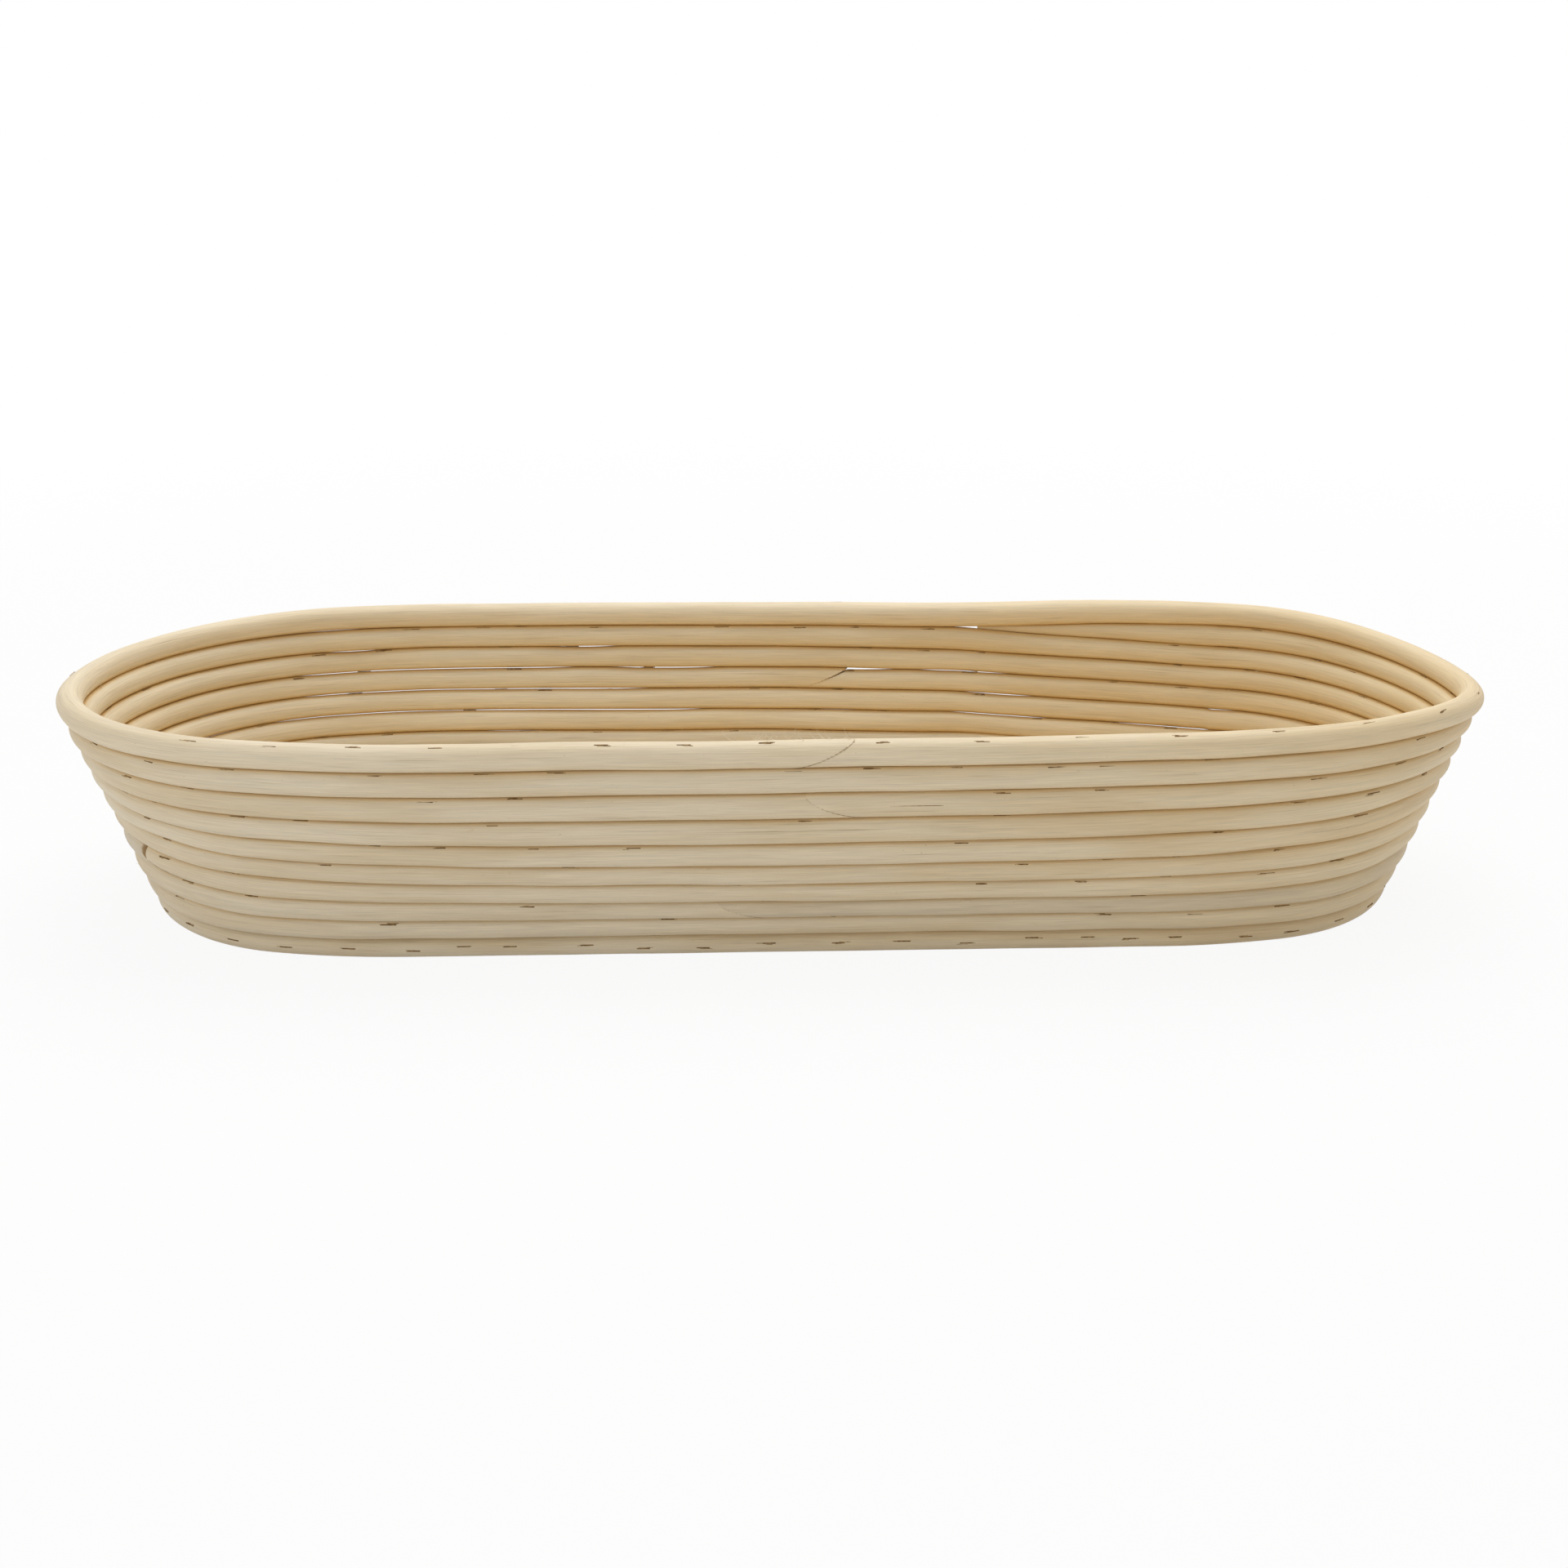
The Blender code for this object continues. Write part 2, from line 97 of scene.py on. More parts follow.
def profileAt(level, endShare):
    outwards = (min(level, 0.0) + basket["baseTurns"] - 1) * pitch
    height = floorHeight
    bands = ((0, 1, footPitch), (1, rimLevel - 1, pitch), (rimLevel - 1, rimLevel + 1, rimPitch))
    for low, high, step in bands:
        if level > low:
            start = wallReach(low, endShare)
            end = wallReach(min(level, high), endShare)
            outwards += (end[0] - start[0]) * step / pitch
            height += (end[1] - start[1]) * step / pitch
    return outwards, height


rimReach = profileAt(rimLevel, 0.0)[0]


def makeStretches():
    leftTip = 180.0 - tipSweep
    right, left = (tipX, 0.0), (-tipX, 0.0)
    rightBack, leftBack = (sideX, shoulderY), (-sideX, shoulderY)
    leftFront, rightFront = (-sideX, -shoulderY), (sideX, -shoulderY)
    chain = [
        ("rightFirst", right, right, tipRadius, 0.0, tipSweep),
        ("rightBack", rightBack, rightBack, shoulderRadius, tipSweep, 90.0),
        ("back", rightBack, leftBack, shoulderRadius, 90.0, 90.0),
        ("leftBack", leftBack, leftBack, shoulderRadius, 90.0, leftTip),
        ("left", left, left, tipRadius, leftTip, 360.0 - leftTip),
        ("leftFront", leftFront, leftFront, shoulderRadius, 360.0 - leftTip, 270.0),
        ("front", leftFront, rightFront, shoulderRadius, 270.0, 270.0),
        ("rightFront", rightFront, rightFront, shoulderRadius, 270.0, 360.0 - tipSweep),
        ("rightLast", right, right, tipRadius, 360.0 - tipSweep, 360.0),
    ]
    stretches, reached = [], 0.0
    for name, first, last, radius, turnFrom, turnTo in chain:
        length = abs(last[0] - first[0])
        length += math.radians(turnTo - turnFrom) * (radius + rimReach)
        stretches.append((name, reached, length, first, last, radius, turnFrom, turnTo))
        reached += length
    return stretches, reached


stretches, loopLength = makeStretches()


def planAt(travel):
    reached = (travel + basket["climbOffset"]) % loopLength
    for name, start, length, first, last, radius, turnFrom, turnTo in stretches:
        if reached <= start + length:
            break
    share = min((reached - start) / length, 1.0)
    centre = np.array(first) + (np.array(last) - np.array(first)) * share
    return centre, radius, math.radians(turnFrom + (turnTo - turnFrom) * share)


def travelOn(name, share):
    for stretch in stretches:
        if stretch[0] == name:
            return (stretch[1] + stretch[2] * share - basket["climbOffset"]) % loopLength


# how far the hand-laid courses sit above (+) or below (-) their even line at three spots (x) of the front
# wall, each as bells over the levels: middle, spread, height
frontSettle = [
    (-0.161, [(3.2, 2.0, 0.0019)]),
    (0.0, [(0.9, 1.0, 0.0008), (4.9, 2.0, -0.0018)]),
    (0.165, [(2.2, 1.2, 0.0005), (7.0, 4.4, 0.0023)]),
]

# how the settling fades into the round ends (sine of the turn), and how far it goes on past the outer
# spots (x)
settleFade = {"side": 0.7, "past": 0.02}

# the back wall sags where the spiral ends; the sag grows over the lowest levels
backSag = {"x": 0.078, "width": 0.062, "drop": 0.0020, "rimDrop": 0.0007, "levels": 3.0}

# the upper courses droop round the ends: middle and width (degrees of turn), drop at the rim, first level
endSags = [(8.0, 36.0, 0.0030, 4.0), (140.0, 36.0, 0.0010, 3.0)]


def bell(value, middle, spread):
    return math.exp(-((value - middle) / spread) ** 2)


def settleAt(level, x, angle):
    front = smoothStep(-math.sin(angle) / settleFade["side"])
    back = smoothStep(math.sin(angle) / settleFade["side"])
    low, mid, high = (row[0] for row in frontSettle)
    left, middle, right = (sum(height * bell(level, at, spread) for at, spread, height in row[1])
                           for row in frontSettle)
    x = min(max(x, low - settleFade["past"]), high + settleFade["past"])
    curved = left * (x - mid) * (x - high) / ((low - mid) * (low - high))
    curved += middle * (x - low) * (x - high) / ((mid - low) * (mid - high))
    curved += right * (x - low) * (x - mid) / ((high - low) * (high - mid))
    drop = backSag["drop"] + (backSag["rimDrop"] - backSag["drop"]) * smoothStep(level - rimLevel + 1)
    drop *= smoothStep(level / backSag["levels"]) * bell(x, backSag["x"], backSag["width"])
    settled = front * curved - back * drop
    for middle, width, endDrop, fromLevel in endSags:
        aside = (math.degrees(angle) - middle + 180.0) % 360.0 - 180.0
        reach = min(max((level - fromLevel) / (rimLevel - fromLevel), 0.0), 1.0)
        settled -= endDrop * reach * bell(aside, 0.0, width)
    return settled


def placeAt(level, travel):                # centre, winding direction, way up, thickness share
    centre, radius, angle = planAt(travel)
    endShare = math.cos(angle) ** 2
    outwards, height = profileAt(level, endShare)
    normal = np.array((math.cos(angle), math.sin(angle), 0.0))
    along = np.array((-math.sin(angle), math.cos(angle), 0.0))
    point = np.array((centre[0], centre[1], height)) + normal * (radius + outwards)
    lean = leanAt(level, endShare)
    share = 1.0
    if level > 0.0:
        below, above = (settleAt(level + half, point[0], angle) for half in (-0.5, 0.5))
        point[2] += (below + above) / 2
        share += (above - below) * math.cos(lean) / pitch
    lean = math.pi / 2 + (lean - math.pi / 2) * smoothStep(level)
    upwards = normal * math.sin(lean) + np.array((0.0, 0.0, math.cos(lean)))
    return point, along, upwards, share


climbEase = 0.4                            # 0 climbs evenly, 1 eases in and out
# climb of the upper turns, as photographed: the lower ones change to it over some turns,
# and the thin end is a little thicker than its room
wedge = {"length": 0.092, "power": 1.2, "soft": 0.08, "turns": 3.0, "over": 0.05}


def rollAt(turn, travel):                  # climb in the solids: the first wall turn rolls over the foot
    reached = min(max(travel / basket["climbLength"], 0.0), 1.0)
    climb = reached + (smoothStep(reached) - reached) * climbEase
    if turn <= 0:
        return climb
    behind = 1.0 - climb
    lean = leanAt(0.0, math.cos(planAt(travel)[2]) ** 2)
    return math.sqrt(1.0 - (behind * math.cos(lean)) ** 2) - behind * math.sin(lean)


def climbAt(turn, travel):
    roll = rollAt(turn, travel)
    behind = 1.0 - max(travel / wedge["length"], 0.0) ** wedge["power"]
    even = max(1.0 - (behind + math.hypot(behind, wedge["soft"])) / 2, 0.0)
    return roll + (even - roll) * min(max((turn - 1) / wedge["turns"], 0.0), 1.0)


def sectionAt(turn, travel):               # level and thickness share of the spiral
    climb = climbAt(turn, travel)
    if turn == coreLevel + 1 and travel < basket["climbLength"]:
        return coreLevel + 0.5 + climb / 2, climb
    if turn == rimLevel:
        thick = 1.0 - climb
        return rimLevel - (rimHalf + thick * caneHalf) / rimPitch, thick + wedge["over"]
    return turn - 1 + climb, 1.0


halvings = 40                              # enough for any travel


def crossing(low, high, isBefore):         # travel at which a test stops holding
    for halving in range(halvings):
        middle = (low + high) / 2
        low, high = (middle, high) if isBefore(middle) else (low, middle)
    return (low + high) / 2


def taperTravel(turn):
    tip = basket["taperTip"] / pitch
    if turn == rimLevel:
        return crossing(0.0, basket["climbLength"], lambda travel: sectionAt(turn, travel)[1] > tip)
    return crossing(0.0, basket["climbLength"], lambda travel: sectionAt(turn, travel)[1] < tip)


# node building

class Wire:
    def __init__(self, board, socket):
        self.board = board
        self.socket = socket

    def work(self, operation, first, second=None):
        pair = [value for value in (first, second) if value is not None]
        isVector = any(isinstance(value, Wire) and value.socket.type == "VECTOR" for value in pair)
        kind = "ShaderNodeVectorMath" if isVector else "ShaderNodeMath"
        return self.board.add(kind, {"operation": operation}, dict(enumerate(pair)))

    def __add__(self, other):
        return self.work("ADD", self, other)

    def __radd__(self, other):
        return self.work("ADD", other, self)

    def __sub__(self, other):
        return self.work("SUBTRACT", self, other)

    def __rsub__(self, other):
        return self.work("SUBTRACT", other, self)

    def __mul__(self, other):
        return self.work("MULTIPLY", self, other)

    def __rmul__(self, other):
        return self.work("MULTIPLY", other, self)

    def __truediv__(self, other):
        return self.work("DIVIDE", self, other)

    def __rtruediv__(self, other):
        return self.work("DIVIDE", other, self)

    def __pow__(self, other):
        return self.work("POWER", self, other)

    def __rpow__(self, other):
        return self.work("POWER", other, self)

    def __abs__(self):
        return self.work("ABSOLUTE", self)

    def least(self, other):
        return self.work("MINIMUM", self, other)

    def most(self, other):
        return self.work("MAXIMUM", self, other)


class Board:
    def __init__(self, tree):
        self.tree = tree

    def put(self, socket, value):
        if isinstance(value, Wire):
            self.tree.links.new(value.socket, socket)
        elif socket.type == "VECTOR" and isinstance(value, (int, float)):
            socket.default_value = (value, value, value)
        else:
            socket.default_value = value

    def add(self, kind, settings=None, sockets=None, output=0):
        node = self.tree.nodes.new(kind)
        for name, value in (settings or {}).items():
            setattr(node, name, value)
        for key, value in (sockets or {}).items():
            self.put(node.inputs[key], value)
        return Wire(self, node.outputs[output]) if node.outputs else node

    def parts(self, vector):
        split = self.tree.nodes.new("ShaderNodeSeparateXYZ")
        self.put(split.inputs[0], vector)
        return [Wire(self, output) for output in split.outputs]

    def join(self, x, y, z):
        return self.add("ShaderNodeCombineXYZ", None, {0: x, 1: y, 2: z})

    def ramp(self, value, low, high):      # 0 below low, 1 above high, smooth between
        settings = {"interpolation_type": "SMOOTHSTEP"}
        return self.add("ShaderNodeMapRange", settings, {0: value, 1: low, 2: high})

    def mixColour(self, share, first, second, blend="MIX"):
        settings = {"data_type": "RGBA", "blend_type": blend}
        return self.add("ShaderNodeMix", settings, {0: share, 6: first, 7: second}, 2)


# finishes

caneLook = {
    "pale": (0.84, 0.725, 0.53, 1.0),      # dry outer fibre
    "warm": (0.74, 0.585, 0.36, 1.0),      # golden patches
    "grey": (0.60, 0.515, 0.385, 1.0),     # weathered streaks
    "pore": (0.36, 0.235, 0.115, 1.0),     # open pores and cracks
    "paintedWarmLight": (1.0, 0.955, 0.86, 1.0),     # painted warm light on the right side: tint, and where (x)
    "paintedWarmLightReach": (-0.08, 0.20),
    "seam": (0.76, 0.52, 0.20, 1.0),       # painted warm shade in the seams between courses
    "inner": (0.76, 0.60, 0.31, 1.0),      # painted warm bounce light on the side facing into the basket
    "cut": (0.46, 0.30, 0.14, 1.0),        # pared splice faces
    "roughness": 0.56,
}

steelLook = {"bright": (0.32, 0.19, 0.06, 1.0), "rust": (0.17, 0.09, 0.025, 1.0), "roughness": 0.55,
             "metal": 0.1}
fibreLook = {"bright": (0.90, 0.82, 0.66, 1.0), "rust": (0.80, 0.66, 0.44, 1.0), "roughness": 0.5,
             "metal": 0.0}
# colours of the dark strips of painted shade in the staples' slits and the crack
slitShadeLook = {"bright": (0.52, 0.37, 0.18, 1.0), "rust": (0.28, 0.175, 0.07, 1.0), "roughness": 0.6,
            "metal": 0.0}

# noise along the cane: cycles per cane radius and per metre, shift, detail, roughness
grainFields = [
    (0.55, 16.0, 3.0, 2.0, 0.5),           # cloud
    (1.9, 30.0, 7.0, 3.0, 0.6),            # band
    (8.5, 40.0, 11.0, 3.0, 0.65),          # fibre
    (24.0, 95.0, 17.0, 2.0, 0.6),          # hair
    (17.0, 36.0, 23.0, 2.0, 0.55),         # pore
    (7.0, 900.0, 31.0, 1.0, 0.5),          # speck
    (6.0, 9.0, 41.0, 1.0, 0.5),            # crack
]

# where each mark sets in and where it is full, and how strong it then is
caneLimits = {
    "warm": (0.36, 0.74), "grey": (0.50, 0.76), "pore": (0.60, 0.74), "poreBand": (0.30, 0.62),
    "crack": (0.735, 0.775), "crackFibre": (0.35, 0.6), "speck": (0.74, 0.83), "speckHair": (0.42, 0.6),
    "inner": (-0.1, 0.7), "seamInside": (0.0, 0.4), "seam": (0.78, 0.97),
}
caneShares = {
    "warmBand": 0.25, "warmFibre": 0.3, "warmTone": 0.35, "greyTone": 0.3, "grey": 0.4,
    "inner": 0.21, "rimInner": 0.08, "fibre": 0.44, "hair": 0.34, "tone": 0.22,
    "pore": 0.42, "crack": 0.75, "speck": 0.5, "cut": 0.9,
    "seam": 0.45, "seamInside": 0.45, "seamWider": 0.16, "fibreRough": 0.22, "cutRough": 0.25,
}
caneRelief = {"fibre": 0.55, "hair": 0.35, "pore": 0.5, "crack": 1.2, "strength": 0.55, "depth": 0.00016}
rustLook = {"scale": 900.0, "detail": 3.0, "limits": (0.36, 0.60), "dull": 0.95, "rougher": 0.35,
            "strength": 0.4, "depth": 0.00008}


def newMaterial(name):
    material = bpy.data.materials.new(name)
    material.use_nodes = True
    shader = material.node_tree.nodes["Principled BSDF"]
    return material, Board(material.node_tree), shader


def addBump(board, shader, look, height):
    sockets = {"Strength": look["strength"], "Distance": look["depth"], "Height": height}
    board.put(shader.inputs["Normal"], board.add("ShaderNodeBump", None, sockets))


def caneMaterial(name, warmth, shade, openTop=False):
    material, board, shader = newMaterial(name)

    def attribute(label, output):
        return board.add("ShaderNodeAttribute", {"attribute_name": label}, None, output)

    acrossX, acrossY, unused = board.parts(attribute("ring", 1))
    along = attribute("along", 2)
    tone = attribute("tone", 2)
    cut = attribute("cut", 2)
    wall = attribute("wall", 2)

    def grain(across, length, shift, detail, roughness):
        spot = board.join(acrossX * across + shift, acrossY * across, along * length)
        sockets = {"Vector": spot, "Scale": 1.0, "Detail": detail, "Roughness": roughness}
        return board.add("ShaderNodeTexNoise", None, sockets)

    def mark(value, label):
        return board.ramp(value, *caneLimits[label])

    cloud, band, fibre, hair, poreField, speck, crackField = (grain(*field) for field in grainFields)

    warmField = cloud + (band - 0.5) * caneShares["warmBand"] + (fibre - 0.5) * caneShares["warmFibre"]
    warmField = warmField + (tone - 0.5) * caneShares["warmTone"]
    warmShare = mark(warmField, "warm")
    greyShare = mark((band + fibre) / 2.0 - (tone - 0.5) * caneShares["greyTone"], "grey")
    pores = mark(poreField, "pore") * mark(band, "poreBand")
    cracks = mark(crackField, "crack") * mark(fibre, "crackFibre")
    specks = mark(speck, "speck") * mark(hair, "speckHair")

    colour = board.mixColour(warmShare * warmth, caneLook["pale"], caneLook["warm"])
    # painted warm bounce light: the side of each cane that faces into the basket is tinted warmer, less so
    # on the rim
    paintedBounceShare = caneShares["rimInner" if openTop else "inner"]
    colour = board.mixColour(mark(acrossY * -1.0, "inner") * paintedBounceShare, colour, caneLook["inner"])
    # painted warm light: the canes are tinted warmer towards the right (x)
    sideways, unused, unused = board.parts(board.add("ShaderNodeTexCoord", None, None, 3))
    colour = board.mixColour(board.ramp(sideways, *caneLook["paintedWarmLightReach"]), colour,
                             board.mixColour(1.0, colour, caneLook["paintedWarmLight"], "MULTIPLY"))
    colour = board.mixColour(greyShare * caneShares["grey"], colour, caneLook["grey"])
    streak = 1.0 + (fibre - 0.5) * caneShares["fibre"] + (hair - 0.5) * caneShares["hair"]
    level = streak * (shade + (tone - 0.5) * caneShares["tone"])
    colour = board.mixColour(1.0, colour, board.join(level, level, level), "MULTIPLY")
    marks = (pores * caneShares["pore"]).most(cracks * caneShares["crack"])
    marks = marks.most(specks * caneShares["speck"])
    colour = board.mixColour(marks, colour, caneLook["pore"])
    # painted warm shade in the seams: where a cane meets its neighbours, more and wider on the inner side
    pressed = acrossX * -1.0 if openTop else abs(acrossX)      # no course lies on the rim
    inside = mark(acrossY * -1.0, "seamInside")
    seamFrom, seamTo = caneLimits["seam"]
    paintedSeamShade = board.ramp(pressed, seamFrom - inside * caneShares["seamWider"], seamTo) * wall
    paintedSeamShade = paintedSeamShade * (caneShares["seam"] + inside * caneShares["seamInside"])
    colour = board.mixColour(paintedSeamShade, colour, caneLook["seam"])
    colour = board.mixColour(cut * caneShares["cut"], colour, caneLook["cut"])
    board.put(shader.inputs["Base Color"], colour)

    dull = caneLook["roughness"] + (fibre - 0.5) * caneShares["fibreRough"] + cut * caneShares["cutRough"]
    board.put(shader.inputs["Roughness"], dull)
    relief = fibre * caneRelief["fibre"] + hair * caneRelief["hair"]
    relief = relief - pores * caneRelief["pore"] - cracks * caneRelief["crack"]
    addBump(board, shader, caneRelief, relief)
    return material


def steelMaterial(name, look):
    material, board, shader = newMaterial(name)
    spot = board.add("ShaderNodeTexCoord", None, None, 3)
    sockets = {"Vector": spot, "Scale": rustLook["scale"], "Detail": rustLook["detail"]}
    patch = board.add("ShaderNodeTexNoise", None, sockets)
    rust = board.ramp(patch, *rustLook["limits"])
    board.put(shader.inputs["Base Color"], board.mixColour(rust, look["bright"], look["rust"]))
    board.put(shader.inputs["Metallic"], look["metal"] * (1.0 - rust * rustLook["dull"]))
    board.put(shader.inputs["Roughness"], look["roughness"] + rust * rustLook["rougher"])
    addBump(board, shader, rustLook, patch)
    return material


# the base canes are painted a little lighter (shade 1.03) to offset the shade at the foot
baseFinishPaintedLighter = caneMaterial("baseCanePaintedLighter", warmth=0.70, shade=1.03)
wallFinish = caneMaterial("wallCaneFinish", warmth=0.70, shade=1.0)
rimFinish = caneMaterial("rimCaneFinish", warmth=0.45, shade=1.0, openTop=True)
steelFinish = steelMaterial("rustedStapleFinish", steelLook)
slitShadeFinish = steelMaterial("paintedSlitShadeFinish", slitShadeLook)
fibreFinish = steelMaterial("looseFibreFinish", fibreLook)
print("finishes made")


# geometry node trees

# cycles of the cane's unevenness per radius and per metre, and from which depth on a skin counts as cut
caneSkin = {"across": 1.6, "along": 45.0, "cut": (0.01, 0.06)}
# how a loose fibre bends: share by which it shortens, strays aside and lifts, and by which it thins out
curl = {"shorter": 0.2, "aside": 0.12, "lift": 0.4, "thinner": 0.75, "sides": 4, "points": 6}
# how a staple's wire bends at its shoulders, in wire thicknesses
wireLook = {"bend": 0.6, "sides": 6}


def newTree(name, inputs):
    tree = bpy.data.node_groups.new(name, "GeometryNodeTree")
    tree.interface.new_socket("Geometry", in_out="INPUT", socket_type="NodeSocketGeometry")
    for label, kind in inputs.items():
        tree.interface.new_socket(label, in_out="INPUT", socket_type="NodeSocket" + kind)
    tree.interface.new_socket("Geometry", in_out="OUTPUT", socket_type="NodeSocketGeometry")
    board = Board(tree)
    source = tree.nodes.new("NodeGroupInput")
    board.inputs = {socket.name: Wire(board, socket) for socket in source.outputs if socket.name}
    return board


def closeTree(board, geometry, material):
    geometry = board.add("GeometryNodeRealizeInstances", None, {0: geometry})
    geometry = board.add("GeometryNodeSetMaterial", None, {"Geometry": geometry, "Material": material})
    board.add("NodeGroupOutput", None, {0: geometry})
    return board.tree


def named(board, label, kind):
    return board.add("GeometryNodeInputNamedAttribute", {"data_type": kind}, {"Name": label})


def makeCaneTree():
    board = newTree("caneSweep", {"Half Thickness": "Float", "Sides": "Int", "Squareness": "Float",
                                  "Rough Depth": "Float", "Seed": "Float", "Material": "Material"})
    given = board.inputs
    rail = board.add("GeometryNodeMeshToCurve", None, {"Mesh": given["Geometry"]})
    upwards = named(board, "upwards", "FLOAT_VECTOR")
    rail = board.add("GeometryNodeSetCurveNormal", {"mode": "FREE"}, {"Curve": rail, "Normal": upwards})
    ring = board.add("GeometryNodeCurvePrimitiveCircle", None, {"Resolution": given["Sides"], "Radius": 1.0})
    spot = board.add("GeometryNodeInputPosition")
    ring = board.add("GeometryNodeStoreNamedAttribute", {"data_type": "FLOAT_VECTOR", "domain": "POINT"},
                     {"Geometry": ring, "Name": "ring", "Value": spot})
    x, y, unused = board.parts(spot)
    power = given["Squareness"]
    size = (abs(x) ** power + abs(y) ** power) ** (-1.0 / power)
    ring = board.add("GeometryNodeSetPosition", None,
                     {"Geometry": ring, "Position": spot * (size * given["Half Thickness"])})
    swell = named(board, "swell", "FLOAT")
    cane = board.add("GeometryNodeCurveToMesh", None,
                     {"Curve": rail, "Profile Curve": ring, "Scale": swell, "Fill Caps": True})
    # slanted splice faces: the section is clamped between two heights
    ringUp, ringOut, unused = board.parts(named(board, "ring", "FLOAT_VECTOR"))
    size = (abs(ringUp) ** power + abs(ringOut) ** power) ** (-1.0 / power)
    height, width = ringUp * size, ringOut * size
    kept = height.most(named(board, "cutLow", "FLOAT")).least(named(board, "cutHigh", "FLOAT"))
    kept = kept.most(-1.0).least(1.0)
    room = (1.0 - abs(kept) ** power).most(0.0) ** (1.0 / power)
    narrowed = width.most(room * -1.0).least(room)
    half = given["Half Thickness"] * swell
    cut = board.ramp(abs(kept - height), *caneSkin["cut"])
    cane = board.add("GeometryNodeStoreNamedAttribute", {"data_type": "FLOAT", "domain": "POINT"},
                     {"Geometry": cane, "Name": "cut", "Value": cut})
    offset = named(board, "upwards", "FLOAT_VECTOR") * ((kept - height) * half)
    offset = offset + named(board, "outwards", "FLOAT_VECTOR") * ((narrowed - width) * half)
    cane = board.add("GeometryNodeSetPosition", None, {"Geometry": cane, "Offset": offset})
    # hand-split unevenness
    along = named(board, "along", "FLOAT")
    across = caneSkin["across"]
    grainSpot = board.join(ringUp * across + given["Seed"], ringOut * across, along * caneSkin["along"])
    rough = board.add("ShaderNodeTexNoise", None, {"Vector": grainSpot, "Scale": 1.0, "Detail": 2.0})
    normal = board.add("GeometryNodeInputNormal")
    cane = board.add("GeometryNodeSetPosition", None,
                     {"Geometry": cane, "Offset": normal * ((rough - 0.5) * 2.0 * given["Rough Depth"])})
    # worn flat where the basket stands
    px, py, pz = board.parts(board.add("GeometryNodeInputPosition"))
    cane = board.add("GeometryNodeSetPosition", None,
                     {"Geometry": cane, "Position": board.join(px, py, pz.most(0.0))})
    cane = board.add("GeometryNodeSetShadeSmooth", None, {"Geometry": cane, "Shade Smooth": True})
    return closeTree(board, cane, given["Material"])


def scatter(board, instance, scale):       # one copy on each point of the given mesh, turned along it
    turn = board.add("FunctionNodeAxesToRotation", {"primary_axis": "X", "secondary_axis": "Z"},
                     {0: named(board, "along", "FLOAT_VECTOR"), 1: named(board, "upwards", "FLOAT_VECTOR")})
    points = board.add("GeometryNodeMeshToPoints", None, {"Mesh": board.inputs["Geometry"]})
    return board.add("GeometryNodeInstanceOnPoints", None,
                     {"Points": points, "Instance": instance, "Rotation": turn, "Scale": scale})


def makeStapleTree():
    board = newTree("stapleRow", {"Crown": "Float", "Wire": "Float", "Leg": "Float",
                                  "Material": "Material"})
    given = board.inputs
    half = (given["Crown"] - given["Wire"]) * 0.5
    drop = given["Leg"] * -1.0
    shoulder = given["Wire"] * -0.5
    bend = given["Wire"] * wireLook["bend"]
    line = board.add("GeometryNodeCurvePrimitiveLine", None,
                     {"Start": board.join(half * -1.0, 0.0, drop), "End": board.join(half, 0.0, drop)})
    line = board.add("GeometryNodeResampleCurve", {"mode": "COUNT"}, {"Curve": line, "Count": 6})
    index = board.add("GeometryNodeInputIndex")
    x, unused, unused = board.parts(board.add("GeometryNodeInputPosition"))
    side = board.add("ShaderNodeMath", {"operation": "SIGN"}, {0: x})
    rank = abs(index * 1.0 - 2.5)                       # 0.5 crown, 1.5 bend, 2.5 leg
    isCrown = board.add("ShaderNodeMath", {"operation": "LESS_THAN"}, {0: rank, 1: 1.0})
    isLeg = board.add("ShaderNodeMath", {"operation": "GREATER_THAN"}, {0: rank, 1: 2.0})
    height = isCrown * shoulder + isLeg * drop + (1.0 - isCrown) * (1.0 - isLeg) * (shoulder - bend)
    place = board.join(side * (half - isCrown * bend), 0.0, height)
    line = board.add("GeometryNodeSetPosition", None, {"Geometry": line, "Position": place})
    wire = board.add("GeometryNodeCurvePrimitiveCircle", None,
                     {"Resolution": wireLook["sides"], "Radius": given["Wire"] * 0.5})
    staple = board.add("GeometryNodeCurveToMesh", None,
                       {"Curve": line, "Profile Curve": wire, "Fill Caps": True})
    staples = scatter(board, staple, board.join(named(board, "swell", "FLOAT"), 1.0, 1.0))
    staples = board.add("GeometryNodeSetShadeSmooth", None, {"Geometry": staples, "Shade Smooth": False})
    return closeTree(board, staples, given["Material"])


def makeFibreTree():
    board = newTree("fibreTuft", {"Length": "Float", "Wire": "Float", "Material": "Material"})
    given = board.inputs
    line = board.add("GeometryNodeCurvePrimitiveLine", None, {"End": board.join(given["Length"], 0.0, 0.0)})
    line = board.add("GeometryNodeResampleCurve", {"mode": "COUNT"},
                     {"Curve": line, "Count": curl["points"]})
    gone = board.add("GeometryNodeSplineParameter")
    ahead, squared = gone * (1.0 - gone * curl["shorter"]), gone * gone
    place = board.join(ahead, squared * curl["aside"], squared * curl["lift"]) * given["Length"]
    line = board.add("GeometryNodeSetPosition", None, {"Geometry": line, "Position": place})
    wire = board.add("GeometryNodeCurvePrimitiveCircle", None,
                     {"Resolution": curl["sides"], "Radius": given["Wire"] * 0.5})
    thin = 1.0 - gone * curl["thinner"]
    strand = board.add("GeometryNodeCurveToMesh", None,
                       {"Curve": line, "Profile Curve": wire, "Scale": thin, "Fill Caps": True})
    strands = scatter(board, strand, board.join(*[named(board, "swell", "FLOAT")] * 3))
    return closeTree(board, strands, given["Material"])


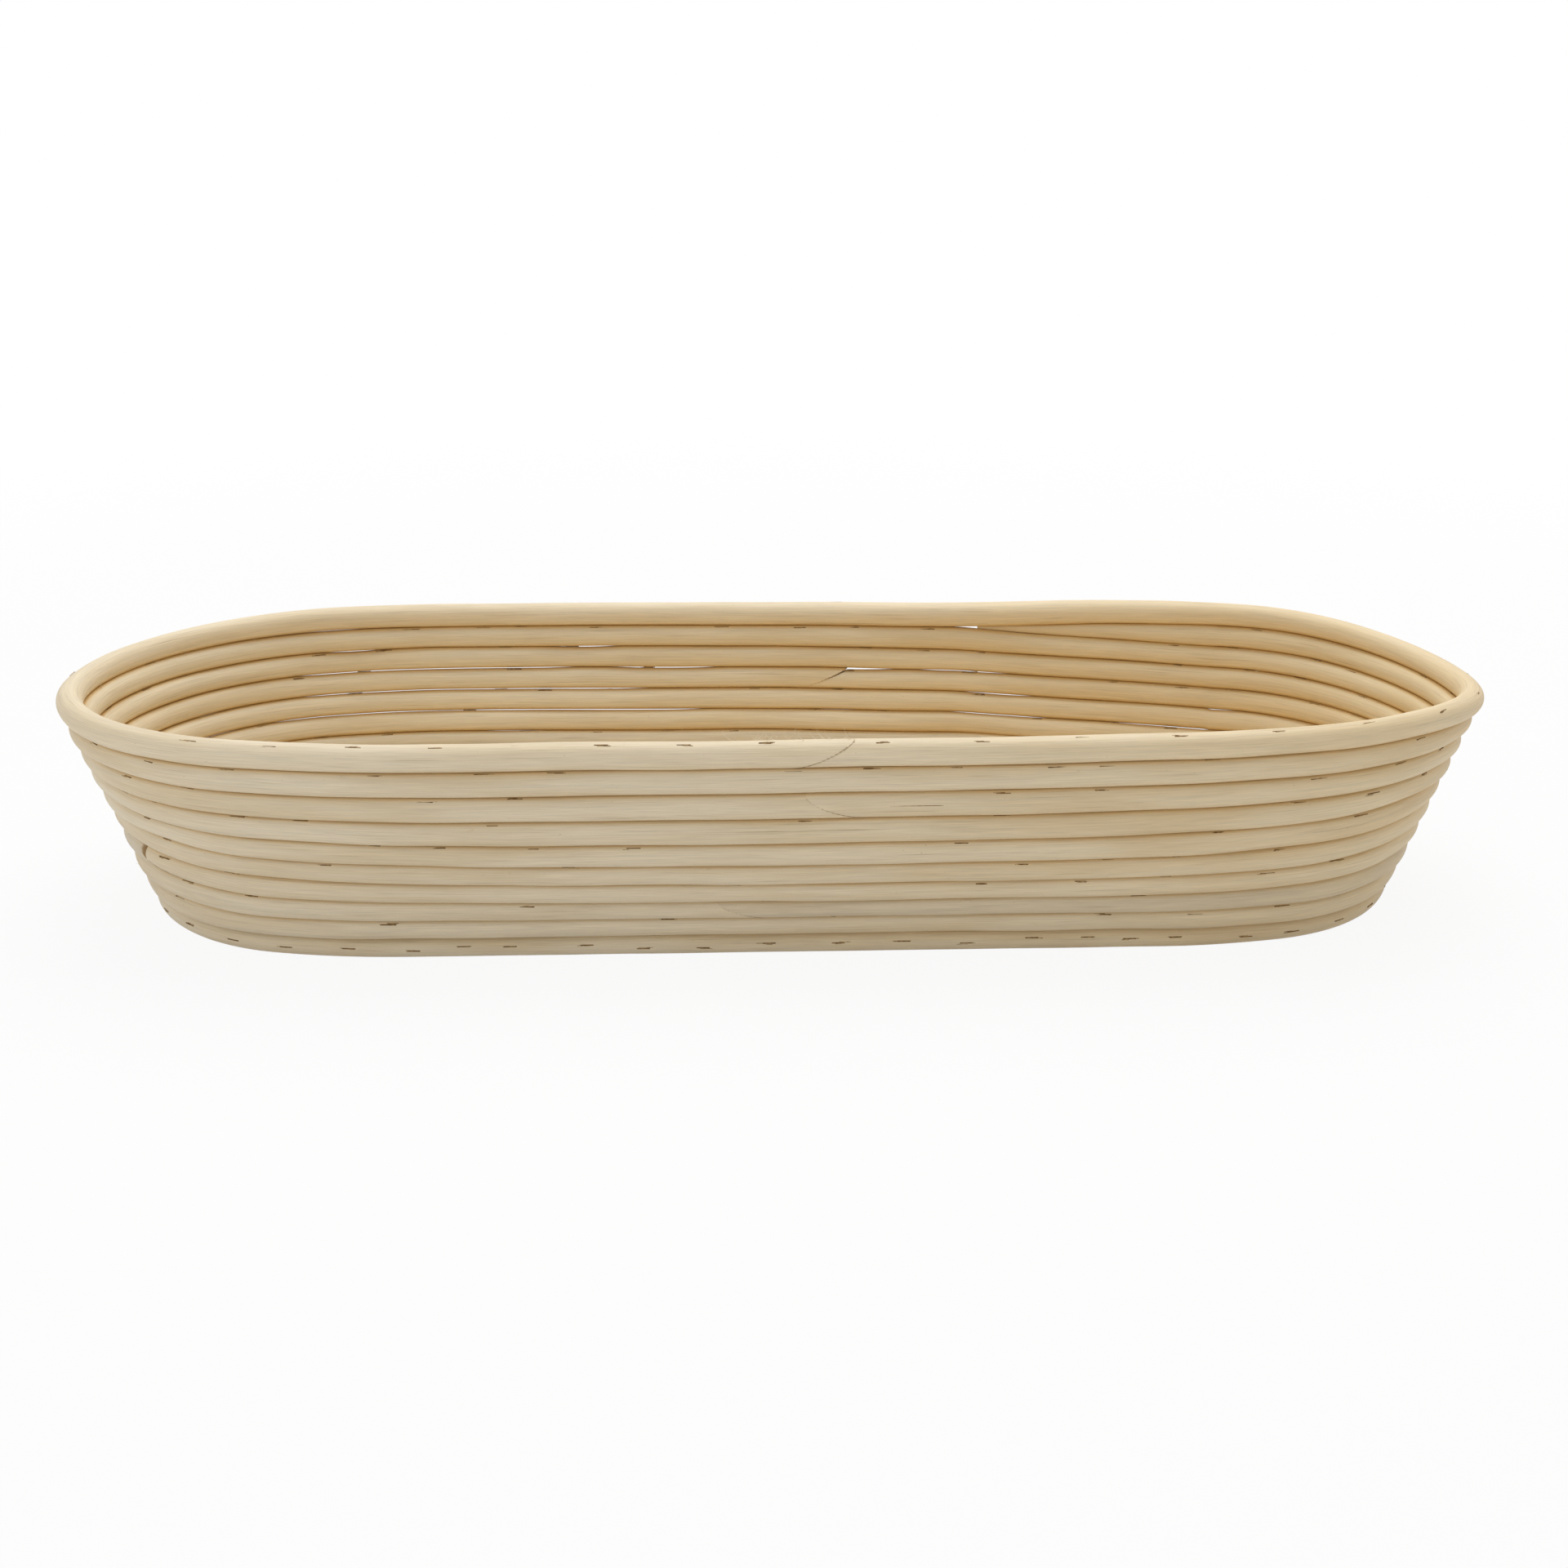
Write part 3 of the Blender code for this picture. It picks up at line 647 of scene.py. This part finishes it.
caneTree = makeCaneTree()
stapleTree = makeStapleTree()
fibreTree = makeFibreTree()
print("geometry trees made")


def pointMesh(name, points, edges, attributes):
    mesh = bpy.data.meshes.new(name)
    mesh.from_pydata([tuple(point) for point in points], edges, [])
    for label, values in attributes.items():
        values = np.asarray(values, dtype=np.float32)
        kind = "FLOAT_VECTOR" if values.ndim == 2 else "FLOAT"
        layer = mesh.attributes.new(label, kind, "POINT")
        layer.data.foreach_set("vector" if values.ndim == 2 else "value", values.ravel())
    return mesh


def growPiece(name, mesh, tree, settings, body, nodes):
    carrier = bpy.data.objects.new(name + "Rail", mesh)
    scene.collection.objects.link(carrier)
    modifier = carrier.modifiers.new("grow", "NODES")
    modifier.node_group = tree
    sockets = {item.name: item.identifier for item in tree.interface.items_tree if item.in_out == "INPUT"}
    for label, value in settings.items():
        modifier[sockets[label]] = value
    grown = carrier.evaluated_get(bpy.context.evaluated_depsgraph_get())
    plain = bpy.data.meshes.new_from_object(grown)
    carrier.modifiers.remove(modifier)
    bpy.data.objects.remove(carrier)
    plain.name = name
    piece = bpy.data.objects.new(name, plain)
    scene.collection.objects.link(piece)
    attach(piece, body)
    if nodes:
        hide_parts(*nodes)
    print(name, len(plain.polygons), "faces")


# hand-made unevenness, the same on every run

rough = {
    "sway": 0.00022,                       # how far a course wanders in and out
    "lift": 0.00018,                       # how far the courses ride up and down together
    "liftLevels": 4.0,                     # levels over which that sets in
    "footLevels": 0.6,                     # level from which a course wanders in full; the base lies still
    "thin": (0.35, 0.95),                  # thickness shares from which a tapered end wanders, and in full
    "spread": (2.1, 0.25, 1.3),            # how much sway, lift and thickness change with the level
    "skin": 0.00006,                       # depth of the uneven skin
    "press": 0.008,                        # share by which a cane presses into its neighbours
    "thick": 0.012,                        # share by which its thickness varies
    "seed": 20,
}
waveGain, waveDrift = 1.4, 0.3             # height of the sum, and how its waves part from level to level
draw = np.random.default_rng(rough["seed"])


def drawWaves(slowest, fastest, count):    # rates (radians per metre) and phases
    return [(draw.uniform(slowest, fastest), draw.uniform(0.0, 6.28)) for wave in range(count)]


swayWaves = drawWaves(60.0, 190.0, 5)
liftWaves = drawWaves(25.0, 90.0, 4)
thickWaves = drawWaves(50.0, 260.0, 5)


def wander(waves, distance, level, spread):
    total = sum(math.sin(rate * distance + phase + spread * level * (1 + waveDrift * number))
                for number, (rate, phase) in enumerate(waves))
    return total / len(waves) * waveGain


def laidAt(level, travel, share=1.0):      # placeAt with the unevenness of the hand
    point, along, upwards, settled = placeAt(level, travel)
    out = np.cross(along, upwards)
    free = smoothStep(level / rough["footLevels"])
    if level < rimLevel:
        thin, full = rough["thin"]
        free *= smoothStep((share - thin) / (full - thin))
    sway = wander(swayWaves, travel, level, rough["spread"][0]) * rough["sway"]
    ride = wander(liftWaves, travel, level, rough["spread"][1]) * rough["lift"]
    ride *= min(level / rough["liftLevels"], 1.0)
    return point + (out * sway + upwards * ride) * free, along, upwards, settled


# splices of the spiral: spot (turn, travel), length and bend of the slanted face, its gap,
# how far the new tip is cut back, and how slack the old end lies under the course above
splices = {
    "base": {"spot": (-4, travelOn("front", 0.68)), "length": 0.015, "bend": 1.0},
    "foot": {"spot": (0, travelOn("back", 0.77)), "length": 0.015, "bend": 1.0},
    "frontLow": {"spot": (2, travelOn("front", 0.445)), "length": 0.016, "bend": 0.7},
    "leftLow": {"spot": (3, travelOn("left", 0.85)), "length": 0.040, "bend": 0.3, "gap": 0.0004,
                "blunt": 0.0035},
    "backHigh": {"spot": (6, travelOn("back", 0.41)), "length": 0.016, "bend": 0.9, "slack": 0.0006},
    "frontHigh": {"spot": (7, travelOn("front", 0.56)), "length": 0.017, "bend": 0.6},
}
spliceUsual = {"gap": 0.0007, "blunt": 0.0, "slack": 0.0, "slackLength": 0.024}
for splice in splices.values():
    for label, value in spliceUsual.items():
        splice.setdefault(label, value)

# how the slanted faces meet: length cut off each thin tip, share by which the gap closes along them,
# and margin with fine steps
spliceFit = {"tip": 0.0008, "closing": 0.6, "margin": 0.002}

# thin slits in the back wall that let light through: course below the slit, from and to (x);
# the lowest is the narrowest, and each course above adds to it
slits = [(4, -0.182, -0.018), (4, 0.060, 0.105), (4, 0.120, 0.172), (5, -0.171, -0.041), (5, 0.062, 0.100),
         (6, -0.172, -0.066), (6, -0.060, -0.012), (6, 0.048, 0.090), (7, -0.164, -0.130),
         (7, -0.084, -0.050)]
slitLook = {"lowest": 4, "depth": 0.00025, "growth": 0.00005, "ease": 0.016}

caneFineness = {"step": 0.0025, "spliceStep": 0.0006, "sides": 40, "coreSides": 24, "squareness": 2.1}
uncut = 1.5                                # height past any section
probe = 0.001                              # short travel, to measure the length of a turn


class Rail:
    def __init__(self, half):
        self.half = half
        self.points, self.upwards, self.outwards, self.swell, self.along = [], [], [], [], []
        self.cutHigh, self.cutLow, self.wall = [], [], []

    def put(self, point, upwards, outwards, swell, along, high=uncut, low=-uncut, wall=0.0):
        self.points.append(point)
        self.upwards.append(upwards)
        self.outwards.append(outwards)
        self.swell.append(swell)
        self.along.append(along)
        self.cutHigh.append(high)
        self.cutLow.append(low)
        self.wall.append(wall)

    def add(self, level, travel, share, high=uncut, low=-uncut, slack=0.0):
        point, along, upwards, settled = laidAt(level, travel, share)
        point = point - upwards * slack / 2
        distance = 0.0
        if self.points:
            distance = self.along[-1] + float(np.linalg.norm(point - self.points[-1]))
        uneven = wander(thickWaves, distance, level, rough["spread"][2]) * rough["thick"]
        swell = share * (1.0 + rough["press"] + uneven) * settled - slack / 2 / self.half
        self.put(point, upwards, np.cross(along, upwards), swell, distance, high, low, smoothStep(level))

    def mesh(self, name, tone, start):
        count = len(self.points)
        attributes = {
            "upwards": self.upwards, "outwards": self.outwards, "swell": self.swell,
            "along": np.array(self.along) + start,
            "cutHigh": self.cutHigh, "cutLow": self.cutLow, "wall": self.wall, "tone": np.full(count, tone),
        }
        return pointMesh(name, self.points, [(i, i + 1) for i in range(count - 1)], attributes)


def shiftSpot(spot, distance):             # spot moved by a length along its own turn
    turn, travel = spot
    level = sectionAt(turn, travel)[0]
    here = placeAt(level, travel)[0]
    there = placeAt(level, travel + probe)[0]
    return turn, travel + distance * probe / float(np.linalg.norm(there - here))


def slitAt(turn, travel):                  # height of the slit above a course
    point = placeAt(sectionAt(turn, travel)[0], travel)[0]
    ease = slitLook["ease"]
    opened = [smoothStep((point[0] - low) / ease) * smoothStep((high - point[0]) / ease)
              for course, low, high in slits if course == turn and point[1] > 0.0]
    depth = slitLook["depth"] + slitLook["growth"] * (turn - slitLook["lowest"])
    return depth * max(opened, default=0.0)


def spliceLine(share, bend):               # height of the slanted face, from 1 down to -1
    return 1.0 - 2.0 * min(max(share, 0.0), 1.0) ** bend


def spliceGap(splice, gone):               # half the gap, as a share of the cane
    return splice["gap"] * (1.0 - spliceFit["closing"] * gone) / 2 / caneHalf


def spiralRail(startSplice, endSplice):
    rail = Rail(caneHalf)
    first = (coreLevel + 1, taperTravel(coreLevel + 1))
    last = (rimLevel, taperTravel(rimLevel))
    startGone, startLength, endLength = 0.0, 0.0, 0.0
    if startSplice:
        startLength, startGone = startSplice["length"], startSplice["blunt"]
        first = shiftSpot(startSplice["spot"], startGone - startLength / 2)
    if endSplice:
        endLength = endSplice["length"]
        last = shiftSpot(endSplice["spot"], endLength / 2)
    turn, travel = first
    while True:
        level, share = sectionAt(turn, travel)
        high, low, slack = uncut, -uncut, slitAt(turn, travel)
        if startSplice and startGone < startLength:
            gone = (startGone + spliceFit["tip"]) / startLength
            low = spliceLine(gone, startSplice["bend"]) + spliceGap(startSplice, gone)
        left = None
        if turn == last[0] and endSplice:
            scale = shiftSpot((turn, travel), probe)[1] - travel
            left = (last[1] - travel) / scale * probe
            slackShare = smoothStep(1.0 - (left - endLength) / endSplice["slackLength"])
            slack = max(slack, endSplice["slack"] * slackShare)
            if left < endLength:
                gone = (endLength - left - spliceFit["tip"]) / endLength
                high = spliceLine(gone, endSplice["bend"]) - spliceGap(endSplice, gone)
        rail.add(level, travel, share, high, low, slack)
        if (turn, travel) >= last:
            break
        nearStart = startSplice and startGone < startLength + spliceFit["margin"]
        nearEnd = left is not None and left < endLength + spliceFit["margin"]
        step = caneFineness["spliceStep"] if nearStart or nearEnd else caneFineness["step"]
        travel = shiftSpot((turn, travel), step)[1]
        startGone += step
        if travel >= loopLength:
            turn += 1
            travel -= loopLength
        if (turn, travel) > last:
            turn, travel = last
    return rail


# where the grain of each cane starts along the noise, and how much its unevenness is shifted
caneGrain = {"first": 2.0, "apart": 7.0, "core": 60.0, "rim": 80.0, "seed": 3.1}


def growCane(name, rail, tone, start, finish, slot, node, **extra):
    settings = {"Half Thickness": rail.half, "Sides": caneFineness["sides"],
                "Squareness": caneFineness["squareness"], "Seed": start * caneGrain["seed"],
                "Rough Depth": rough["skin"], "Material": finish}
    settings.update(extra)
    growPiece(name, rail.mesh(name + "Rail", tone, start), caneTree, settings, "root", [node])


# name, splices at its start and end, tone, finish, slot, node
canes = [
    ("baseCaneInner", None, "base", 0.55, baseFinishPaintedLighter, "base_cane", "base_cane_inner"),
    ("baseCaneOuter", "base", "foot", 0.45, baseFinishPaintedLighter, "base_cane", "base_cane_outer"),
    ("wallCane1", "foot", "frontLow", 0.45, wallFinish, "wall_cane", "wall_cane_1"),
    ("wallCane2", "frontLow", "leftLow", 0.15, wallFinish, "wall_cane", "wall_cane_2"),
    ("wallCane3", "leftLow", "backHigh", 0.52, wallFinish, "wall_cane", "wall_cane_3"),
    ("wallCane4", "backHigh", "frontHigh", 0.50, wallFinish, "wall_cane", "wall_cane_4"),
    ("wallCane5", "frontHigh", None, 0.50, wallFinish, "wall_cane", "wall_cane_5"),
]
for number, (name, start, end, tone, finish, slot, node) in enumerate(canes):
    rail = spiralRail(splices.get(start), splices.get(end))
    growCane(name, rail, tone, caneGrain["first"] + caneGrain["apart"] * number, finish, slot, node)


# straight core of the base, pared to a nose at each end
core = {"noseReach": 0.7, "steps": 12, "blunt": 0.12, "straightSteps": 90, "tone": 0.5}


def makeCore():
    rail = Rail(caneHalf)
    noseTurn = core["noseReach"] * math.radians(basket["shoulderSweep"])
    inside = shoulderRadius - caneHalf
    outline = []
    for step in range(core["steps"] + 1):
        turned = noseTurn * step / core["steps"]
        room = (shoulderY + inside * math.cos(turned)) / caneHalf
        outline.append((sideX + inside * math.sin(turned), max(room, core["blunt"])))
    straight = np.linspace(-sideX, sideX, core["straightSteps"])[1:-1]
    xs = [(-x, share) for x, share in reversed(outline)] + [(x, 1.0) for x in straight] + outline
    for x, share in xs:
        rail.put((x, 0.0, floorHeight), (0.0, 0.0, 1.0), (0.0, -1.0, 0.0), share, x + sideX)
    growCane("baseCore", rail, core["tone"], caneGrain["core"], baseFinishPaintedLighter, "base_cane", "base_core",
             Sides=caneFineness["coreSides"])


makeCore()


# rim ring with its slanted splice
rim = {"spliceLength": 0.017, "spliceGap": 0.0008, "spliceBend": 1.3, "leastStep": 0.0003, "tone": 0.6,
       "leftStaples": 27, "rightStaples": 14, "crown": 0.0046, "wire": 0.00042, "leg": 0.0045, "proud": 0.2,
       "frontTurn": (12.0, 30.0), "backTurn": (27.0, 34.0), "backFrom": 0.2}
rimSplice = travelOn("front", basket["rimSpliceShare"])


def makeRim():
    rail = Rail(rimHalf)
    length = rim["spliceLength"]
    first, last = rimSplice - length / 2, rimSplice + loopLength + length / 2
    stops = set(np.arange(first, last, caneFineness["step"]).tolist())
    fine = length + spliceFit["margin"]
    stops |= set(np.arange(first, first + fine, caneFineness["spliceStep"]).tolist())
    stops |= set(np.arange(last - fine, last, caneFineness["spliceStep"]).tolist())
    stops = sorted(stops) + [last]
    kept = [stops[0]]
    for stop in stops[1:]:
        if stop - kept[-1] > rim["leastStep"]:
            kept.append(stop)
    gap = rim["spliceGap"] / 2 / rimHalf
    for travel in kept:
        high, low = uncut, -uncut
        if travel - first < length:        # the right piece lies under the left one's tip
            share = (travel - first + spliceFit["tip"]) / length
            high = -1.0 + 2.0 * min(share, 1.0) ** rim["spliceBend"] - gap
        if last - travel < length:
            share = 1.0 - (last - travel + spliceFit["tip"]) / length
            low = -1.0 + 2.0 * max(share, 0.0) ** rim["spliceBend"] + gap
        rail.add(rimLevel, travel, 1.0, high, low)
    growCane("rimCane", rail, rim["tone"], caneGrain["rim"], rimFinish, "rim_cane", "rim_cane")


makeRim()


# staples: each row is a list of (point, along, upwards, length share)
def growStaples(name, row, settings, finish, nodes):
    points, alongs, upwards, lengths = zip(*row)
    attributes = {"along": alongs, "upwards": upwards, "swell": lengths}
    mesh = pointMesh(name + "Points", points, [], attributes)
    growPiece(name, mesh, stapleTree, dict(settings, Material=finish), "root", nodes)


def onCane(level, travel, half, turn, proud):      # spot on the skin, turned outwards from the top
    point, along, upwards, settled = laidAt(level, travel)
    across = np.cross(along, upwards)
    rise, out = math.cos(math.radians(turn)), math.sin(math.radians(turn))
    power = caneFineness["squareness"]
    reach = (abs(rise) ** power + abs(out) ** power) ** (-1.0 / power)
    skin = reach * half * settled * (1.0 + rough["press"])
    facing = upwards * rise + across * out
    return point + facing * (skin + proud), along, facing


def rimSpots():
    tip = basket["taperTip"] / pitch
    thinTo = crossing(0.0, basket["climbLength"], lambda travel: 1.0 - rollAt(rimLevel, travel) > tip)
    room = basket["scarf"] / 2 + 2 * rim["crown"]
    thinFrom = loopLength + basket["climbLength"] / 2 - rim["crown"]
    left = np.linspace(thinTo + rim["crown"], rimSplice - room, rim["leftStaples"])
    right = np.linspace(rimSplice + room, thinFrom, rim["rightStaples"])
    return np.concatenate([left, right])


# staples in the outer face of the bottom course: where they show at the front (x), and the rest
foot = {"front": (-0.150, -0.131, -0.112, -0.097, -0.083, -0.060, -0.043, -0.025, -0.005, 0.016, 0.036,
                  0.055, 0.075, 0.092, 0.105, 0.119, 0.141),
        "others": 34, "jitter": 0.004, "crown": 0.0046, "wire": 0.00042, "leg": 0.0035,
        "proud": 0.35, "turn": 15.0, "leftFrom": 0.75, "rightTo": 0.35, "clear": 0.02}


def footSpots(pick):
    start, stop = travelOn("left", foot["leftFrom"]), travelOn("rightLast", foot["rightTo"])
    spots = [crossing(start, stop, lambda travel: placeAt(0.0, travel)[0][0] < x) for x in foot["front"]]
    clear = foot["clear"]
    rest = np.linspace(spots[-1] + clear, spots[0] + loopLength - clear, foot["others"])
    spots += (rest + pick.uniform(-foot["jitter"], foot["jitter"], foot["others"])).tolist()
    return [spot % loopLength for spot in spots]


# staples that hold each wall course to the one below; most hide deep in the seam, and a lower course
# has fewer: share of the rim's length at the foot, and how much each level adds
wallStaple = {"spacing": 0.022, "jitter": 0.006, "turn": (18.0, 40.0), "crown": 0.0054, "wire": 0.00044,
              "leg": 0.0030, "proud": 0.2, "lengths": (0.6, 1.1), "footShare": 0.8, "levelShare": 0.02,
              "seed": 11}
turnMargin = 0.003                         # no staple or fibre lies closer to the start of a turn

# painted shade of the slits the staples sit in, as thin dark strips beside them: share of staples that show
# it, and how far it strays
slitShade = {"share": 0.75, "crown": 0.0034, "wire": 0.00026, "leg": 0.0004, "proud": 0.3, "alongStray": 0.0022,
        "turnStray": 6.0, "strands": 2, "lengths": (0.5, 1.2), "seed": 17}
# the dry crack in the upper front course, drawn as one dark strip of painted shade
crack = {"level": 7, "spot": travelOn("front", 0.664), "length": 0.018, "turn": 80.0, "proud": 0.00012}


def makeStaples():
    pick = np.random.default_rng(wallStaple["seed"])
    slitShadePick = np.random.default_rng(slitShade["seed"])
    slitShadeRow = []

    def fasten(row, level, travel, half, turn, look, length):
        row.append(onCane(level, travel, half, turn, look["wire"] * look["proud"]) + (length,))
        # dark strips of painted shade beside each staple, for the slit it sits in
        slitShadeProud = slitShade["wire"] * min(slitShade["proud"], look["proud"])
        for strand in range(slitShade["strands"]):
            stray = travel + slitShadePick.uniform(-1.0, 1.0) * slitShade["alongStray"]
            aside = turn + slitShadePick.uniform(-1.0, 1.0) * slitShade["turnStray"]
            size = slitShadePick.uniform(*slitShade["lengths"])
            if slitShadePick.uniform() < slitShade["share"]:
                slitShadeRow.append(onCane(level, stray, half, aside, slitShadeProud) + (size,))

    rimRow, footRow, wallRow = [], [], []
    for travel in rimSpots():
        side = "backTurn" if math.sin(planAt(travel)[2]) > rim["backFrom"] else "frontTurn"
        fasten(rimRow, rimLevel, travel, rimHalf, pick.uniform(*rim[side]), rim, 1.0)
    for travel in footSpots(pick):
        level = sectionAt(0, travel)[0]
        fasten(footRow, level, travel, caneHalf, pick.uniform(-foot["turn"], foot["turn"]), foot, 1.0)
    for turn in range(1, rimLevel):
        share = wallStaple["footShare"] + wallStaple["levelShare"] * turn
        count = int(loopLength * share / wallStaple["spacing"])
        for number in range(count):
            travel = loopLength * (number + 0.5) / count
            travel += pick.uniform(-wallStaple["jitter"], wallStaple["jitter"])
            travel = min(max(travel, turnMargin), loopLength - turnMargin)
            aside = pick.uniform(*wallStaple["turn"]) * pick.choice((-1.0, 1.0))
            level = sectionAt(turn, travel)[0]
            length = pick.uniform(*wallStaple["lengths"])
            fasten(wallRow, level, travel, caneHalf, aside, wallStaple, length)
    split = onCane(crack["level"], crack["spot"], caneHalf, crack["turn"], crack["proud"])
    slitShadeRow.append(split + (crack["length"] / slitShade["crown"],))

    def sizes(look):
        return {"Crown": look["crown"], "Wire": look["wire"], "Leg": look["leg"]}

    nodes = ["rim_staple_%02d" % number for number in range(1, len(rimRow) + 1)]
    growStaples("rimStaples", rimRow, sizes(rim), steelFinish, nodes)
    growStaples("footStaples", footRow, sizes(foot), steelFinish, [])
    growStaples("wallStaples", wallRow, sizes(wallStaple), steelFinish, [])
    growStaples("paintedSlitShade", slitShadeRow, sizes(slitShade), slitShadeFinish, [])


makeStaples()


# loose fibres: beside the rim's splice (reach before and after it), and here and there in the seams
fray = {"rimCount": 34, "rimReach": (-0.028, 0.008), "wallCount": 70, "length": 0.0040, "wire": 0.00018,
        "sunk": 0.4, "rise": (0.1, 0.8), "stray": (-0.5, 0.5), "lengths": (0.4, 1.2),
        "rimTurn": (-45.0, 5.0), "wallTurn": (25.0, 60.0), "seed": 29}


def makeFibres():
    pick = np.random.default_rng(fray["seed"])
    row = []

    def sprout(level, travel, half, turn):
        point, along, facing = onCane(level, travel, half, turn, -fray["wire"] * fray["sunk"])
        lean = facing * pick.uniform(*fray["rise"]) + np.cross(along, facing) * pick.uniform(*fray["stray"])
        heading = along * pick.choice((-1.0, 1.0)) + lean
        row.append((point, heading / np.linalg.norm(heading), facing, pick.uniform(*fray["lengths"])))

    for number in range(fray["rimCount"]):
        travel = rimSplice + pick.uniform(*fray["rimReach"])
        sprout(rimLevel, travel, rimHalf, pick.uniform(*fray["rimTurn"]))
    for number in range(fray["wallCount"]):
        turn, travel = int(pick.integers(1, rimLevel)), pick.uniform(turnMargin, loopLength - turnMargin)
        aside = pick.uniform(*fray["wallTurn"]) * pick.choice((-1.0, 1.0))
        sprout(sectionAt(turn, travel)[0], travel, caneHalf, aside)
    points, alongs, upwards, lengths = zip(*row)
    mesh = pointMesh("looseFibrePoints", points, [], {"along": alongs, "upwards": upwards, "swell": lengths})
    settings = {"Length": fray["length"], "Wire": fray["wire"], "Material": fibreFinish}
    growPiece("looseFibres", mesh, fibreTree, settings, "root", [])


makeFibres()
print("basket made")


# camera at the photograph's angle, found by fitting the outline and the seams
view = {"focal": 2549.34, "frame": 1920.0, "sensor": 36.0, "tilt": 0.3397, "yaw": 0.0445, "roll": 0.0042,
        "distance": 0.69255, "right": -0.00219, "up": -0.03037, "nearest": 0.01}


def makeCamera():
    yaw, tilt, roll = view["yaw"], view["tilt"], view["roll"]
    rightAxis = Vector((math.cos(yaw), -math.sin(yaw), 0.0))
    backAxis = Vector((math.sin(yaw), math.cos(yaw), 0.0))
    forward = backAxis * math.cos(tilt) - Vector((0.0, 0.0, math.sin(tilt)))
    upAxis = backAxis * math.sin(tilt) + Vector((0.0, 0.0, math.cos(tilt)))
    spot = -view["right"] * rightAxis - view["up"] * upAxis - view["distance"] * forward
    turnedRight = rightAxis * math.cos(roll) + upAxis * math.sin(roll)
    turnedUp = upAxis * math.cos(roll) - rightAxis * math.sin(roll)
    camera = bpy.data.cameras.new("studioCamera")
    camera.sensor_width = view["sensor"]
    camera.lens = view["focal"] * view["sensor"] / view["frame"]
    camera.clip_start = view["nearest"]
    holder = bpy.data.objects.new("studioCamera", camera)
    turn = Matrix((turnedRight, turnedUp, -forward)).transposed().to_4x4()
    turn.translation = spot
    holder.matrix_world = turn
    scene.collection.objects.link(holder)
    scene.camera = holder


makeCamera()


# pale floor and soft studio light
white = (1.0, 1.0, 1.0, 1.0)
studio = {"floorSize": 6.0, "floorDrop": 0.0002, "floorColour": (0.86, 0.86, 0.86, 1.0),
          "floorRoughness": 0.9, "shadowShare": 0.09, "shadowReach": (0.4, 0.9), "world": 0.43,
          "topPower": 8.9, "topSize": 1.0, "topSpot": (0.08, 0.40, 1.15),
          "leftPower": 3.0, "leftSize": 0.8, "leftSpot": (-1.0, -0.90, 0.75),
          "warmPower": 0.9, "warmSize": 0.8, "warmSpot": (1.15, -0.30, 0.80),
          "warmColour": (1.0, 0.74, 0.40)}


def backgroundShare(board):                # 1 where the camera or a mirror sees the background
    seen = board.add("ShaderNodeLightPath", None, None, "Is Camera Ray")
    shiny = board.add("ShaderNodeLightPath", None, None, "Is Glossy Ray")
    clear = board.add("ShaderNodeLightPath", None, None, "Is Transmission Ray")
    return seen.most(shiny).most(clear)


def makeFloor():
    half = studio["floorSize"] / 2
    mesh = bpy.data.meshes.new("studioFloor")
    sides = ((-half, -half), (half, -half), (half, half), (-half, half))
    corners = [(x, y, -studio["floorDrop"]) for x, y in sides]
    mesh.from_pydata(corners, [], [(0, 1, 2, 3)])
    floor = bpy.data.objects.new("studioFloor", mesh)
    scene.collection.objects.link(floor)
    material, board, shader = newMaterial("studioFloor")
    shader.inputs["Base Color"].default_value = studio["floorColour"]
    shader.inputs["Roughness"].default_value = studio["floorRoughness"]
    tree = material.node_tree
    glow = board.add("ShaderNodeEmission", None, {"Color": white, "Strength": 1.0})
    spot = board.add("ShaderNodeTexCoord", None, None, 3)
    away = board.add("ShaderNodeVectorMath", {"operation": "LENGTH"}, {0: spot}, 1)
    shadow = (1.0 - board.ramp(away, *studio["shadowReach"])) * studio["shadowShare"]
    share = backgroundShare(board) * (1.0 - shadow)
    mixed = board.add("ShaderNodeMixShader", None, {0: share, 2: glow})
    tree.links.new(shader.outputs[0], mixed.socket.node.inputs[1])
    output = next(node for node in tree.nodes if node.type == "OUTPUT_MATERIAL")
    tree.links.new(mixed.socket, output.inputs[0])
    mesh.materials.append(material)


def makeSoftbox(name, label):
    lamp = bpy.data.lights.new(name, "AREA")
    lamp.energy = studio[label + "Power"]
    lamp.size = studio[label + "Size"]
    lamp.color = studio.get(label + "Colour", white[:3])
    holder = bpy.data.objects.new(name, lamp)
    holder.location = studio[label + "Spot"]
    holder.rotation_euler = (-Vector(studio[label + "Spot"])).to_track_quat("-Z", "Y").to_euler()
    scene.collection.objects.link(holder)


def makeLight():
    makeSoftbox("topSoftbox", "top")
    makeSoftbox("leftFill", "left")
    makeSoftbox("warmFill", "warm")
    world = bpy.data.worlds.new("studioWorld")
    world.use_nodes = True
    scene.world = world
    board = Board(world.node_tree)
    share = backgroundShare(board)
    strength = share + (1.0 - share) * studio["world"]
    shader = world.node_tree.nodes["Background"]
    shader.inputs["Color"].default_value = white
    board.put(shader.inputs["Strength"], strength)


makeFloor()
makeLight()
print("studio made")
